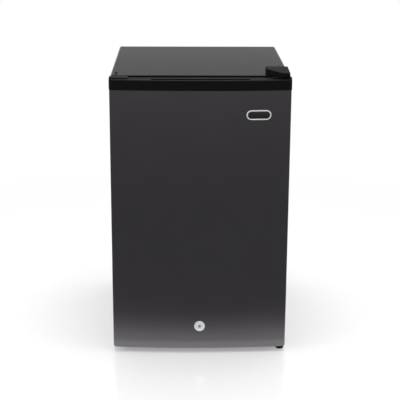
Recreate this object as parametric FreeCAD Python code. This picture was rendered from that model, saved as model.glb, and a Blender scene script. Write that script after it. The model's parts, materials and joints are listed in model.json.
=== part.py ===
import FreeCAD, Part
import math
import os

# Compact upright refrigerator with a bowed, lockable door. All sizes are millimetres.
# +Z is up, +X is the hinge side and the door faces -Y.
# Below, y is counted from the cabinet's front plane, so the door lies at negative y. save()
# then moves every piece, so that the origin is on the floor under the middle of the whole.

# Whole appliance
width = 508.0              # cabinet and door panel
height = 820.0             # cabinet's top above the floor
cabinet_depth = 521.0
door_edge = 50.0           # door face at its two sides, ahead of the cabinet
door_bow = 12.0            # how much further the middle of the door stands out
door_bottom = 16.0         # under the door
seal_gap = 12.0            # rigid back of the door ahead of the cabinet, bridged by the gasket

# Cabinet
sheet = 0.8
shell_radius = 6.0
skirt_bottom = 20.0
liner_wall = 2.0
liner_lip = 8.0            # plastic rim round the cavity, outside which the steel shows
side_wall = 40.0
top_wall = 46.0
back_wall = 52.0
cavity_radius = 12.0
condenser_recess = 32.0     # back panel ahead of the shell's rear edge
rear_flange = 12.0
rail_sheet = 1.2
rail_foot_depth = 46.0
pan_top = 51.2
niche_height = 230.0       # top of the compressor's space
niche_depth = 190.0
niche_insulation = 40.0
plug_inset = 16.0          # unused hinge holes inside the cabinet's other side
plug_behind = (24.0, 46.0)

# Shelves and what else is in the cavity
shelf_count = 3
shelf_over_hump = 8.0
ledge_width = 8.0
ledge_height = 6.0
glass = 4.0
shelf_front = 60.0
trim_depth = 15.0
trim_wall = 2.0
shelf_side_gap = 1.0
evaporator_side_margin = 34.0
evaporator_over_hump = 62.0
evaporator_top_margin = 36.0
evaporator_standoff = 8.0
spacer_radius = 6.0
evaporator_sheet = 1.6
channel_width = 8.0
channel_height = 2.2
channel_rows = 9
trough_side_margin = 24.0
trough_over_hump = 14.0
trough_height = 18.0
trough_depth = 14.0
trough_wall = 2.0
drain_across = 120.0
drain_radius = 5.0
drain_wall = 1.5
drain_bend = 12.0
thermostat_length = 104.0
thermostat_drop = 22.0     # box below the cavity's ceiling
thermostat_height = 66.0
thermostat_thickness = 36.0
thermostat_front = 150.0
knob_radius = 17.0
knob_thickness = 15.0
knob_shaft_radius = 3.0

# Door
panel_sheet = 0.8
corner_radius = 10.0
top_cap_height = 32.0
bottom_cap_height = 21.5
cap_overhang = 1.0
cap_wall = 2.6
cap_top_drop = 3.0         # middle of the cap below the cabinet's top
ear_drop = 0.5             # hinge ends of the cap below the cabinet's top
ear_width = 52.0
ear_thickness = 7.5
ear_front = 36.0
pull_width = 276.0
pull_depth = 18.0
pull_lip = 10.0            # front lip's thickness in the middle of the door
notch_width = 8.0          # mark in the middle of the top cap's lower edge
notch_height = 2.5
notch_depth = 1.2
pull_back = 37.0
inner_panel = 2.0
inner_panel_margin = 2.0
dyke_side_gap = 18.0       # between the door's dykes and the cavity's walls
dyke_width = 18.0
dyke_reach = 34.0
dyke_floor_gap = 22.0
dyke_top_gap = 14.0
bin_over_dyke_foot = 22.0
bin_heights = (96.0, 70.0, 62.0)   # from the lowest bin up, evenly spaced
bin_reach = 44.0
bin_wall = 2.4
bin_ledge = 7.0
gasket_width = 18.0
gasket_past_hinge = 2.0    # gasket's outer edge beyond the hinge axis, so that it swings clear
gasket_over_lock = 14.0    # gasket's lower edge above the lock's axis
gasket_play = 0.3
magnet_width = 9.0
magnet_thickness = 2.6

# Hinges and feet
hinge_inset = 14.0         # axis inside the cabinet's side
hinge_ahead = 22.0         # axis ahead of the cabinet's front
pin_radius = 3.5
pin_play = 0.08
bushing_wall = 1.8
bushing_collar = 7.5
boss_wall = 2.8
hinge_plate = 3.0
top_pin_length = 16.0
bottom_pin_length = 13.0
bottom_tab_gap = 2.5       # under the door, filled by a washer
bottom_tab_reach = 37.0
foot_gap = 1.0             # between a levelling foot and what it is screwed up to
foot_radius = 12.5
foot_stud_radius = 4.0
foot_socket_play = 0.1
foot_stud_bottom = 2.8
left_foot_inset = 38.0
left_foot_behind = 24.0
rear_foot_radius = 15.0
hinge_screw_radius = 2.5
hinge_screw_head = 4.6
hinge_screw_head_height = 2.6
cover_length_behind = 48.0
cover_width = 64.0
cover_side_inset = 4.0
cover_rise = 18.0
cover_front_drop = 4.0
cover_ahead = 15.0         # cover's front edge ahead of the hinge axis
cover_nose = 22.0          # length of that edge
cover_radius = 4.0
hinge_plate_clearance = 1.0
cover_wall = 2.0
plug_radius = 3.2
screw_depth = 14.0         # threads of a pan-head screw below its seat

# Lock and badge
lock_height = 87.0
lock_radius = 15.5
lock_proud = 3.0
barrel_radius = 9.5
plug_bore = 5.2
plug_play = 0.08
cam_length = 30.0
cam_sheet = 2.0
nut_flats = 22.0
nut_thickness = 3.0
keeper_sheet = 1.5
keeper_half_width = 16.0
keeper_screw_places = (-9.0, 9.0)
keeper_screw_under_tip = 15.0
badge_width = 70.0
badge_height = 28.0
badge_rim = 3.6
badge_proud = 1.8
badge_from_side = 91.0     # its middle from the door's side
badge_drop = 69.0          # its middle below the top cap

# Cooling circuit behind the cabinet
tube_radius = 2.4
wire_radius = 0.8
wire_play = 0.1
condenser_side_margin = 54.0
condenser_over_niche = 32.0
condenser_top_margin = 60.0
condenser_pitch = 40.0
condenser_wires = 19
condenser_stand = 17.0     # tube's middle behind the back panel
clip_foot = 3.0
machine_floor = 34.0
base_plate = 2.0
rear_foot_inset = 40.0
rear_foot_ahead = 46.0     # ahead of the cabinet's rear
tray_under_ceiling = 6.0
tray_height = 24.0
tray_wall = 2.0
compressor_radius = 74.0
compressor_across = 55.0
compressor_behind = 98.0   # its axis behind the niche's front wall
compressor_stand = 14.0    # underside above the base plate
compressor_dome = 30.0
compressor_rim = 4.0       # flange where the two halves of the pot are welded
mount_across = 82.0        # bolts from the compressor's axis
mount_behind = 52.0
mount_sheet = 2.5
bolt_radius = 3.0
gland_inset = 70.0
gland_radius = 5.0
drier_radius = 9.0
drier_length = 90.0
fit = 0.2                  # clearance between neighbouring static pieces
pipe_bend = 8.0
capillary_radius = 1.2
seam = 0.2                 # between the ends of soldered pipes and what they enter

half = width / 2
lock_face = door_edge + door_bow + lock_proud
cabinet_front = -(cabinet_depth - lock_face) / 2
panel_back = -seal_gap
rigid_back = panel_back - inner_panel
panel_low = door_bottom + bottom_cap_height
panel_high = height - top_cap_height
gasket_bottom = lock_height + gasket_over_lock
rail_top = gasket_bottom + gasket_width + 1
cavity_floor = rail_top + liner_lip
cavity_half = half - side_wall
cavity_top = height - top_wall
back_plane = cabinet_depth - condenser_recess
cavity_back = back_plane - back_wall
niche_front = cabinet_depth - niche_depth
hump_front = niche_front - niche_insulation
hump_top = niche_height + niche_insulation
steel_side = side_wall - liner_lip
steel_top = top_wall - liner_lip
first_shelf = hump_top + shelf_over_hump
shelf_pitch = (cavity_top - first_shelf) / shelf_count
shelf_heights = [first_shelf + k * shelf_pitch for k in range(shelf_count)]
evaporator_width = 2 * (cavity_half - evaporator_side_margin)
evaporator_low = hump_top + evaporator_over_hump
evaporator_high = cavity_top - evaporator_top_margin
trough_width = 2 * (cavity_half - trough_side_margin)
trough_low = hump_top + trough_over_hump
dyke_outer = cavity_half - dyke_side_gap
dyke_low = cavity_floor + dyke_floor_gap
dyke_high = cavity_top - dyke_top_gap
first_bin = dyke_low + bin_over_dyke_foot
bin_pitch = (dyke_high - first_bin) / len(bin_heights)
bin_bottoms = [first_bin + k * bin_pitch for k in range(len(bin_heights))]
pull_front = door_edge + door_bow + cap_overhang - pull_lip
bottom_tab_top = door_bottom - bottom_tab_gap
foot_height = bottom_tab_top - hinge_plate - foot_gap
badge_across = half - badge_from_side
badge_centre = panel_high - badge_drop
condenser_width = width - 2 * condenser_side_margin
condenser_low = niche_height + condenser_over_niche
condenser_rise = height - condenser_top_margin - condenser_low
condenser_passes = 2 * int(condenser_rise / (2 * condenser_pitch)) + 1   # odd: in left, out right
hinge_x = half - hinge_inset
hinge_y = -hinge_ahead
boss_radius = pin_radius + bushing_wall + boss_wall
keeper_screw_height = lock_height - cam_length - keeper_screw_under_tip
rear_foot_y = cabinet_depth - rear_foot_ahead
tray_top = niche_height - tray_under_ceiling
compressor_y = niche_front + compressor_behind
compressor_low = machine_floor + base_plate + compressor_stand
compressor_top = tray_top - tray_height
compressor_height = compressor_top - compressor_low
mount_low = compressor_low - tray_under_ceiling
far = 2000.0

V = FreeCAD.Vector
X_AXIS = V(1, 0, 0)
Y_AXIS = V(0, 1, 0)
Z_AXIS = V(0, 0, 1)


def box(x, y, z):
    """Block between the low and high value given for each axis."""
    return Part.makeBox(x[1] - x[0], y[1] - y[0], z[1] - z[0], V(x[0], y[0], z[0]))


def post(x, y, z, radius):
    """Upright cylinder from z[0] to z[1]."""
    return Part.makeCylinder(radius, z[1] - z[0], V(x, y, z[0]), Z_AXIS)


def peg(x, z, y, radius):
    """Cylinder along Y from y[0] to y[1]."""
    return Part.makeCylinder(radius, y[1] - y[0], V(x, y[0], z), Y_AXIS)


def bar(y, z, x, radius):
    """Cylinder along X from x[0] to x[1]."""
    return Part.makeCylinder(radius, x[1] - x[0], V(x[0], y, z), X_AXIS)


def along(axis):
    """Test for straight edges that run along an axis."""
    def test(edge):
        if len(edge.Vertexes) != 2 or not isinstance(edge.Curve, Part.Line):
            return False
        return abs(abs(edge.Curve.Direction.dot(axis)) - 1) < 1e-6
    return test


def rounded(shape, radius, axis, where=lambda centre: True):
    """Fillet the edges along an axis whose middle passes the test."""
    runs = along(axis)
    edges = [edge for edge in shape.Edges if runs(edge) and where(edge.CenterOfMass)]
    return shape.makeFillet(radius, edges)


def joined(first, *others):
    return first.fuse(list(others)).removeSplitter()


def polygon(points, height_span):
    """Prism over a plan outline."""
    corners = [V(x, y, height_span[0]) for x, y in points]
    outline = Part.makePolygon(corners + corners[:1])
    return Part.Face(outline).extrude(V(0, 0, height_span[1] - height_span[0]))


def tube(points, bend, radius):
    """Round bar along straight runs that tangent arcs of one radius join."""
    points = [V(*point) for point in points]
    edges = []
    start = points[0]
    for before, corner, after in zip(points, points[1:], points[2:]):
        arriving = (corner - before).normalize()
        leaving = (after - corner).normalize()
        turn = arriving.getAngle(leaving)
        trim = bend * math.tan(turn / 2)
        entry = corner - arriving * trim
        leave = corner + leaving * trim
        inward = (leaving - arriving).normalize()
        middle = corner + inward * (bend / math.cos(turn / 2) - bend)
        edges.append(Part.LineSegment(start, entry).toShape())
        edges.append(Part.Arc(entry, middle, leave).toShape())
        start = leave
    edges.append(Part.LineSegment(start, points[-1]).toShape())
    path = Part.Wire(edges)
    heading = (points[1] - points[0]).normalize()
    section = Part.Wire([Part.makeCircle(radius, points[0], heading)])
    return path.makePipeShell([section], True, True)


def screw(x, y, z, direction, shank):
    """Pan-head screw: its head sits on (x, y, z) and its shank runs along the direction."""
    seat = V(x, y, z)
    back = seat - direction * hinge_screw_head_height
    head = Part.makeCylinder(hinge_screw_head, hinge_screw_head_height, back, direction)
    rim = [edge for edge in head.Edges if (edge.CenterOfMass - back).Length < 0.01]
    head = head.makeFillet(hinge_screw_head_height / 3, rim)
    arm = hinge_screw_head * 0.55
    slot = Part.makeBox(2 * arm, 0.9, 1.2, V(-arm, -0.45, 0))
    cross = slot.fuse(Part.makeBox(0.9, 2 * arm, 1.2, V(-0.45, -arm, 0)))
    turn = FreeCAD.Rotation(Z_AXIS, direction)
    cross.Placement = FreeCAD.Placement(back, turn)
    return head.cut(cross).fuse(Part.makeCylinder(hinge_screw_radius, shank, seat, direction))


def save(name, *pieces):
    """Write one node in the appliance's own frame."""
    moved = [piece.translated(V(0, cabinet_front, 0)) for piece in pieces]
    shape = moved[0] if len(moved) == 1 else Part.makeCompound(moved)
    shape.exportStep("parts/" + name + ".step")


# ---------------------------------------------------------------- cabinet

def cavity(grow):
    """Inside of the cabinet, grown outwards on every wall."""
    space = box((-cavity_half - grow, cavity_half + grow), (-far, cavity_back + grow),
                (cavity_floor - grow, cavity_top + grow))
    space = rounded(space, cavity_radius + grow, Y_AXIS)
    hump = box((-far, far), (hump_front + grow, far), (-far, hump_top - grow))
    return space.cut(hump)


def hinge_screw_places():
    """Seats of the top hinge's screws, from its axis: across and behind."""
    return [(hinge_x + dx, hinge_y + dy) for dx, dy in ((-34, 38), (-12, 38), (-23, 56))]


def bottom_screw_places():
    """Seats of the bottom hinge's screws on the cabinet's front, across and up."""
    return [(hinge_x - 27, 32.0), (hinge_x - 27, 50.0)]


def screw_holes(clearance, depth):
    """Everything that the hinge and keeper screws pass through."""
    radius = hinge_screw_radius + clearance
    holes = [post(x, y, (height - depth, height + 1), radius) for x, y in hinge_screw_places()]
    holes += [peg(x, z, (-1, depth), radius) for x, z in bottom_screw_places()]
    holes += [peg(x, keeper_screw_height, (-1, depth), radius) for x in keeper_screw_places]
    return holes


def make_cabinet_shell():
    whole = box((-half, half), (0, cabinet_depth), (skirt_bottom, height))
    whole = rounded(whole, shell_radius, Y_AXIS, lambda centre: centre.z > height - 1)
    hollow = box((-half + sheet, half - sheet), (-1, cabinet_depth + 1),
                 (skirt_bottom - 1, height - sheet))
    hollow = rounded(hollow, shell_radius - sheet, Y_AXIS, lambda centre: centre.z > height / 2)
    opening = box((-half + steel_side, half - steel_side), (-1, 2), (0, height - steel_top))
    front = whole.common(box((-far, far), (0, sheet), (0, far))).cut(opening)
    rear_opening = box((-half + rear_flange, half - rear_flange), (0, far),
                       (0, height - rear_flange))
    rear = whole.common(box((-far, far), (cabinet_depth - sheet, cabinet_depth), (0, far)))
    shell = joined(whole.cut(hollow), front, rear.cut(rear_opening))
    for x, y in plug_places():
        shell = shell.cut(post(x, y, (height - 5, height + 1), plug_radius - 0.6 + fit))
    save("cabinet_shell", shell.cut(screw_holes(fit, screw_depth)))


def plug_places():
    """Unused screw holes of the top hinge on the other side."""
    return [(plug_inset - half, y) for y in plug_behind]


def make_hole_plugs():
    plugs = []
    for x, y in plug_places():
        stem = post(x, y, (height - 4, height), plug_radius - 0.6)
        button = post(x, y, (height, height + 1.2), plug_radius)
        edge = [e for e in button.Edges if e.CenterOfMass.z > height + 1]
        plugs.append(stem.fuse(button.makeFillet(0.5, edge)))
    save("hole_plugs", *plugs)


def make_front_rail():
    reach = half - steel_side - fit
    plate = box((-reach, reach), (0, rail_sheet), (skirt_bottom, rail_top))
    shelf = box((-reach, reach), (0, rail_foot_depth), (skirt_bottom, skirt_bottom + rail_sheet))
    foot_x = -half + left_foot_inset
    stud = post(foot_x, left_foot_behind, (foot_stud_bottom, skirt_bottom + 8), foot_stud_radius)
    nut = hexagon(foot_x, left_foot_behind, (skirt_bottom - 5.0, skirt_bottom), 13.0)
    rail = joined(plate, shelf, stud, nut)
    save("front_rail", rail.cut(screw_holes(fit, screw_depth)))


def hexagon(x, y, z, flats):
    """Upright hexagonal prism with the given distance across its flats."""
    reach = flats / math.sqrt(3)
    turns = [math.radians(60 * k) for k in range(6)]
    corners = [(x + reach * math.cos(turn), y + reach * math.sin(turn)) for turn in turns]
    return polygon(corners, z)


def make_base_pan():
    reach = half - sheet - fit
    plate = box((-reach, reach), (rail_sheet + fit, niche_front), (pan_top - rail_sheet, pan_top))
    sides = [box(sorted((side * reach, side * (reach - rail_sheet))), (rail_foot_depth, niche_front),
                 (skirt_bottom + 4, pan_top)) for side in (-1, 1)]
    save("base_pan", joined(plate, *sides).cut(screw_holes(fit, screw_depth)))


def make_back_panel():
    reach = half - sheet - fit
    panel = box((-reach, reach), (back_plane - sheet, back_plane),
                (niche_height + sheet, height - sheet - fit))
    panel = rounded(panel, shell_radius - sheet - fit, Y_AXIS, lambda centre: centre.z > height / 2)
    holes = [peg(x, z, (0, far), hinge_screw_radius + fit) for x, z in clip_screw_places()]
    save("back_panel", panel.cut(holes))


def make_niche_panel():
    reach = half - sheet - fit
    upright = box((-reach, reach), (niche_front, niche_front + sheet), (pan_top, niche_height + sheet))
    ceiling = box((-reach, reach), (niche_front, back_plane), (niche_height, niche_height + sheet))
    save("niche_panel", joined(upright, ceiling).cut(drain_bore(fit)))


def make_cabinet_foam():
    body = box((-half + sheet, half - sheet), (liner_wall, back_plane - sheet), (pan_top, height - sheet))
    body = rounded(body, shell_radius - sheet, Y_AXIS, lambda centre: centre.z > height / 2)
    niche = box((-far, far), (niche_front, far), (0, niche_height + sheet))
    body = body.cut([cavity(liner_wall), niche, drain_bore(fit)])
    body = body.cut(screw_holes(fit, screw_depth + 2))
    holes = [peg(x, z, (back_plane - screw_depth, far), hinge_screw_radius + fit)
             for x, z in clip_screw_places()]
    plugs = [post(x, y, (height - 5, height + 1), plug_radius) for x, y in plug_places()]
    holes += [peg(x, z, (cavity_back - 1, cavity_back + screw_depth), hinge_screw_radius + fit)
              for x, z in evaporator_corners()]
    save("cabinet_foam", body.cut(holes + plugs))


def make_liner():
    walls = cavity(liner_wall).cut(cavity(0)).common(box((-far, far), (0, far), (0, far)))
    rim = box((-cavity_half - liner_lip, cavity_half + liner_lip), (0, liner_wall),
              (cavity_floor - liner_lip, cavity_top + liner_lip))
    ledges = []
    for shelf in shelf_heights:
        for side in (-1, 1):
            inner = cavity_half - ledge_width
            span = sorted((side * inner, side * (cavity_half + liner_wall / 2)))
            ledges.append(box(span, (shelf_front, cavity_back - 24), (shelf - ledge_height, shelf)))
    spacers = [peg(x, z, (cavity_back - evaporator_standoff, cavity_back + 1), spacer_radius)
               for x, z in evaporator_corners()]
    liner = joined(walls, rim.cut(cavity(0)), *(ledges + spacers))
    holes = [peg(x, z, (cavity_back - evaporator_standoff - 1, far), hinge_screw_radius + fit)
             for x, z in evaporator_corners()]
    save("inner_liner", liner.cut(holes + [drain_bore(fit)]))


# ---------------------------------------------------------------- inside the cavity

def make_shelves():
    rear = cavity_back - 22
    reach = cavity_half - shelf_side_gap
    panes = []
    trims = []
    stops = []
    for level in shelf_heights:
        panes.append(box((-reach, reach), (shelf_front + trim_wall, rear - trim_wall),
                         (level, level + glass)))
        front = box((-reach, reach), (shelf_front - fit, shelf_front + trim_depth),
                    (level - ledge_height + 1, level + glass + trim_wall))
        front = rounded(front, 2.5, X_AXIS, lambda centre: centre.y < shelf_front + 1)
        ends = [box(sorted((side * (reach - ledge_width), side * far)), (0, far), (0, level))
                for side in (-1, 1)]
        under = box((-far, far), (shelf_front + trim_wall + 1.5, far), (0, level))
        slot = box((-far, far), (shelf_front + trim_wall, far), (level, level + glass))
        trims.append(front.cut(ends + [under, slot]))
        back = box((-reach, reach), (rear - trim_depth, rear), (level, level + glass + 2 * trim_wall))
        stops.append(back.cut(box((-far, far), (0, rear - trim_wall), (level, level + glass))))
    save("glass_shelves", *panes)
    save("shelf_front_trims", *trims)
    save("shelf_rear_stops", *stops)


def evaporator_corners():
    """Where the cold plate is held, across and up."""
    across = evaporator_width / 2 - 12
    return [(side * across, z) for side in (-1, 1) for z in (evaporator_low + 12, evaporator_high - 12)]


def make_evaporator():
    face = cavity_back - evaporator_standoff
    plate = box((-evaporator_width / 2, evaporator_width / 2), (face - evaporator_sheet, face),
                (evaporator_low, evaporator_high))
    plate = rounded(plate, 6.0, Y_AXIS)
    front = face - evaporator_sheet
    pitch = (evaporator_high - evaporator_low - 70) / (channel_rows - 1)
    reach = evaporator_width / 2 - 30 - pitch / 2
    outer = (pitch + channel_width) / 2
    depth = (front - channel_height, front)
    ridges = []
    for row in range(channel_rows):
        z = evaporator_low + 35 + row * pitch
        ridges.append(box((-reach, reach), depth, (z - channel_width / 2, z + channel_width / 2)))
        if row + 1 < channel_rows:
            side = 1 if row % 2 == 0 else -1
            middle = z + pitch / 2
            ring = peg(side * reach, middle, depth, outer).cut(
                peg(side * reach, middle, depth, outer - channel_width))
            ridges.append(ring.common(box(sorted((side * reach, side * far)), (0, far), (0, far))))
    plate = joined(plate, *ridges)
    holes = [peg(x, z, (0, far), hinge_screw_radius + fit) for x, z in evaporator_corners()]
    save("evaporator_plate", plate.cut(holes))


def drain_path():
    inlet = trough_low + trough_height / 2
    down = cavity_back + 20
    return [(drain_across, cavity_back - trough_depth / 2, inlet), (drain_across, down, inlet),
            (drain_across, down, tray_top - 6)]


def drain_bore(clearance):
    """Way through liner, foam and niche ceiling for the defrost drain."""
    return tube(drain_path(), drain_bend, drain_radius + clearance)


def make_drain():
    rear = cavity_back - fit
    body = box((-trough_width / 2, trough_width / 2), (rear - trough_depth, rear),
               (trough_low, trough_low + trough_height))
    body = rounded(body, 4.0, X_AXIS, lambda centre: centre.z < trough_low + 1)
    inner = trough_width / 2 - trough_wall
    hollow = box((-inner, inner), (rear - trough_depth + trough_wall, rear - trough_wall),
                 (trough_low + trough_wall, far))
    save("drain_trough", body.cut([hollow, drain_bore(fit)]))
    inlet, corner, outlet = drain_path()
    bore = [(inlet[0], inlet[1] - 1, inlet[2]), corner, (outlet[0], outlet[1], outlet[2] - 1)]
    hose = tube(drain_path(), drain_bend, drain_radius)
    save("drain_tube", hose.cut(tube(bore, drain_bend, drain_radius - drain_wall)))


def make_thermostat():
    wall = cavity_half
    x = (wall - thermostat_thickness, wall - fit)
    y = (thermostat_front, thermostat_front + thermostat_length)
    z = (cavity_top - thermostat_drop - thermostat_height, cavity_top - thermostat_drop)
    case = rounded(box(x, y, z), 7.0, X_AXIS)
    inner = rounded(box((x[0] + 2.2, wall + 1), (y[0] + 2.2, y[1] - 2.2), (z[0] + 2.2, z[1] - 2.2)),
                    4.8, X_AXIS)
    face = [edge for edge in case.Edges if abs(edge.CenterOfMass.x - x[0]) < 0.01]
    case = case.makeFillet(1.6, face)
    axis_y = (y[0] + y[1]) / 2
    axis_z = (z[0] + z[1]) / 2
    vents = [box((x[0] - 1, x[0] + 4), (axis_y - 40 + 8 * k, axis_y - 37 + 8 * k), (z[0] + 12, z[1] - 12))
             for k in (0, 1, 8.5, 9.5)]
    bore = bar(axis_y, axis_z, (x[0] - 1, x[0] + 4), knob_shaft_radius + 2)
    save("thermostat_case", case.cut([inner, bore] + vents))
    body = box((x[0] + 6, wall - fit), (axis_y - 16, axis_y + 16), (axis_z - 20, axis_z + 20))
    nose = bar(axis_y, axis_z, (x[0] + 2.4, x[0] + 6), knob_shaft_radius + 1.6)
    shaft = bar(axis_y, axis_z, (x[0] - knob_thickness + 4, x[0] + 6), knob_shaft_radius)
    save("thermostat_switch", joined(body, nose, shaft))
    knob_face = x[0] - fit
    knob = bar(axis_y, axis_z, (knob_face - knob_thickness, knob_face), knob_radius)
    grips = [bar(axis_y + (knob_radius + 1.2) * math.cos(math.radians(30 * k + 15)),
                 axis_z + (knob_radius + 1.2) * math.sin(math.radians(30 * k + 15)),
                 (knob_face - knob_thickness - 1, knob_face - 3), 2.6) for k in range(12)]
    knob = knob.cut(grips)
    pointer = box((knob_face - knob_thickness - 1.2, knob_face - knob_thickness + 1),
                  (axis_y - 1, axis_y + 1), (axis_z + 3, axis_z + knob_radius - 2.5))
    socket = bar(axis_y, axis_z, (knob_face - knob_thickness + 3.6, knob_face + 1),
                 knob_shaft_radius + pin_play)
    save("thermostat_knob", joined(knob, pointer).cut(socket))


# ---------------------------------------------------------------- door

def door_prism(inset, rear, z):
    """Door plan drawn in by inset, as a prism: straight back and sides, bowed front."""
    reach = half - inset
    side = -door_edge + inset
    corners = [V(-reach, rear, z[0]), V(-reach, side, z[0]), V(reach, side, z[0]), V(reach, rear, z[0])]
    middle = V(0, side - door_bow, z[0])
    outline = Part.Wire([Part.LineSegment(corners[0], corners[1]).toShape(),
                         Part.Arc(corners[1], middle, corners[2]).toShape(),
                         Part.LineSegment(corners[2], corners[3]).toShape(),
                         Part.LineSegment(corners[3], corners[0]).toShape()])
    prism = Part.Face(outline).extrude(V(0, 0, z[1] - z[0]))
    return rounded(prism, corner_radius - inset, Z_AXIS, lambda centre: centre.y < side + 1)


def face_at(x):
    """y of the door panel's face at a distance from its middle, and its slope in degrees."""
    radius = (half ** 2 + door_bow ** 2) / (2 * door_bow)
    centre = -door_edge - door_bow + radius
    return centre - math.sqrt(radius ** 2 - x ** 2), math.degrees(math.asin(x / radius))


def barrel_hole(clearance):
    return peg(0, lock_height, (-far, far), barrel_radius + clearance)


def make_door_skin():
    z = (panel_low, panel_high)
    shell = door_prism(0, rigid_back, z).cut(door_prism(panel_sheet, rigid_back + 1, (0, far)))
    back = door_prism(0, rigid_back, z).common(box((-far, far), (rigid_back - panel_sheet, far), (0, far)))
    hem = back.cut(box((-half + 12, half - 12), (-far, far), (0, far)))
    save("door_skin", joined(shell, hem).cut(barrel_hole(fit)))


def cap_bosses(z, radius):
    return [post(side * hinge_x, hinge_y, z, radius) for side in (-1, 1)]


def make_top_cap():
    """Moulded cap with a finger pull behind its front lip and a raised ear over each hinge place."""
    low = panel_high
    flat = height - cap_top_drop
    ear_top = height - ear_drop
    body = door_prism(-cap_overhang, rigid_back, (low, flat))
    rim = [edge for edge in body.Edges if edge.CenterOfMass.z > flat - 0.01
           and edge.CenterOfMass.y < rigid_back - 1]
    body = body.makeFillet(2.2, rim)
    pull = box((-pull_width / 2, pull_width / 2), (-pull_front, -pull_back), (flat - pull_depth, far))
    pull = rounded(pull, 5.0, Z_AXIS)
    trough = box((-pull_width / 2 - cap_wall, pull_width / 2 + cap_wall),
                 (-pull_front - cap_wall, -pull_back + cap_wall), (flat - pull_depth - cap_wall, far))
    hollow = door_prism(cap_wall - cap_overhang, rigid_back - cap_wall, (low - 1, flat - cap_wall))
    body = body.cut(hollow.cut([trough] + cap_bosses((0, far), boss_radius)))
    swing = hinge_ahead - 2.5
    for side in (-1, 1):
        inner = half - ear_width
        ear_z = (ear_top - ear_thickness, ear_top)
        reach = sorted((side * inner, side * hinge_x))
        block = box(reach, (-ear_front, hinge_y + swing), ear_z)
        end = post(side * hinge_x, hinge_y, ear_z, swing)
        clip = box(sorted((side * inner, side * (half + cap_overhang))), (-ear_front, far), (0, far))
        body = body.fuse(joined(block, end).common(clip))
    body = body.removeSplitter().cut(pull)
    body = body.cut(cap_bosses((0, far), pin_radius + bushing_wall))
    face = door_edge + door_bow + cap_overhang
    notch = box((-notch_width / 2, notch_width / 2), (-far, notch_depth - face),
                (low - 1, low + notch_height))
    save("door_top_cap", body.cut(notch))


def front_view_round(shape, radius, low, high):
    """Round the lower corners as seen from the front."""
    reach = half + cap_overhang
    mask = rounded(box((-reach, reach), (-far, far), (low, high)), radius, Y_AXIS,
                   lambda centre: centre.z < low + 1)
    return shape.common(mask)


def make_bottom_cap():
    low = door_bottom
    body = door_prism(0, rigid_back, (low, panel_low))
    rim = [edge for edge in body.Edges if edge.CenterOfMass.z < low + 0.01
           and edge.CenterOfMass.y < rigid_back - 1]
    body = body.makeFillet(2.0, rim)
    body = front_view_round(body, 9.0, low, panel_low)
    hollow = door_prism(cap_wall, rigid_back - cap_wall, (low + cap_wall, far))
    hollow = front_view_round(hollow, 9.0, low + cap_wall, panel_low + 1)
    body = body.cut(hollow.cut(cap_bosses((0, far), boss_radius)))
    save("door_bottom_cap", body.cut(cap_bosses((0, far), pin_radius + bushing_wall)))


def make_bushings():
    top = height - ear_drop
    sleeve = pin_radius + bushing_wall - 0.05
    bore = [post(hinge_x, hinge_y, (0, far), pin_radius + pin_play)]
    upper = post(hinge_x, hinge_y, (top - top_pin_length - 1.5, top), sleeve)
    save("upper_bushing", upper.cut(bore))
    lower = post(hinge_x, hinge_y, (door_bottom, door_bottom + bottom_pin_length), sleeve)
    collar = post(hinge_x, hinge_y, (door_bottom - 0.3, door_bottom), bushing_collar)
    save("lower_bushing", joined(lower, collar).cut(bore))
    plug = post(-hinge_x, hinge_y, (top - 8, top), sleeve)
    button = post(-hinge_x, hinge_y, (top, top + 0.4), sleeve + 0.8)
    save("cap_plug", joined(plug, button))


def dyke(side, grow, rear):
    """Hollow rib of the door's inner panel, drawn in by grow."""
    outer = dyke_outer - grow
    inner = dyke_outer - dyke_width + grow
    block = box(sorted((side * outer, side * inner)), (rear, dyke_reach - grow),
                (dyke_low + grow, dyke_high - grow))
    corner = 5.0 - grow
    return rounded(block, corner, Z_AXIS, lambda centre: centre.y > 0)


def make_door_inner():
    reach = half - inner_panel_margin
    top = height - ear_drop - ear_thickness - 0.6
    z = (door_bottom + inner_panel_margin, top)
    plate = rounded(box((-reach, reach), (rigid_back, panel_back), z), 8.0, Y_AXIS)
    ribs = [dyke(side, 0, panel_back) for side in (-1, 1)]
    ledges = []
    for side in (-1, 1):
        inner = dyke_outer - dyke_width
        for level in bin_bottoms:
            ledges.append(box(sorted((side * (inner - bin_ledge), side * (inner + 1))),
                              (panel_back, dyke_reach - 8), (level - 7, level)))
    panel = joined(plate, *(ribs + ledges))
    cores = [dyke(side, inner_panel, rigid_back - 1) for side in (-1, 1)]
    panel = panel.cut(cores + [barrel_hole(fit)])
    save("door_inner_panel", panel)


def make_door_foam():
    core = door_prism(panel_sheet, rigid_back, (panel_low, panel_high))
    lining = box((-half + 12 + fit, half - 12 - fit), (-far, far), (0, far))
    core = core.common(joined(lining, box((-far, far), (-far, rigid_back - panel_sheet), (0, far))))
    top = door_prism(cap_wall, rigid_back - cap_wall - fit, (panel_high, panel_high + 5))
    bottom = door_prism(cap_wall + fit, rigid_back - cap_wall - fit,
                        (panel_low - 6, panel_low))
    core = joined(core, top.cut(cap_bosses((0, far), boss_radius + fit)),
                  bottom.cut(cap_bosses((0, far), boss_radius + fit)))
    ribs = [dyke(side, inner_panel, rigid_back - 1) for side in (-1, 1)]
    core = joined(core, *ribs)
    pins = cap_bosses((0, panel_low + 1), boss_radius + fit)
    pins += [post(hinge_x, hinge_y, (panel_high - 8, far), boss_radius)]
    save("door_foam", core.cut([barrel_hole(fit)] + pins))


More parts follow.
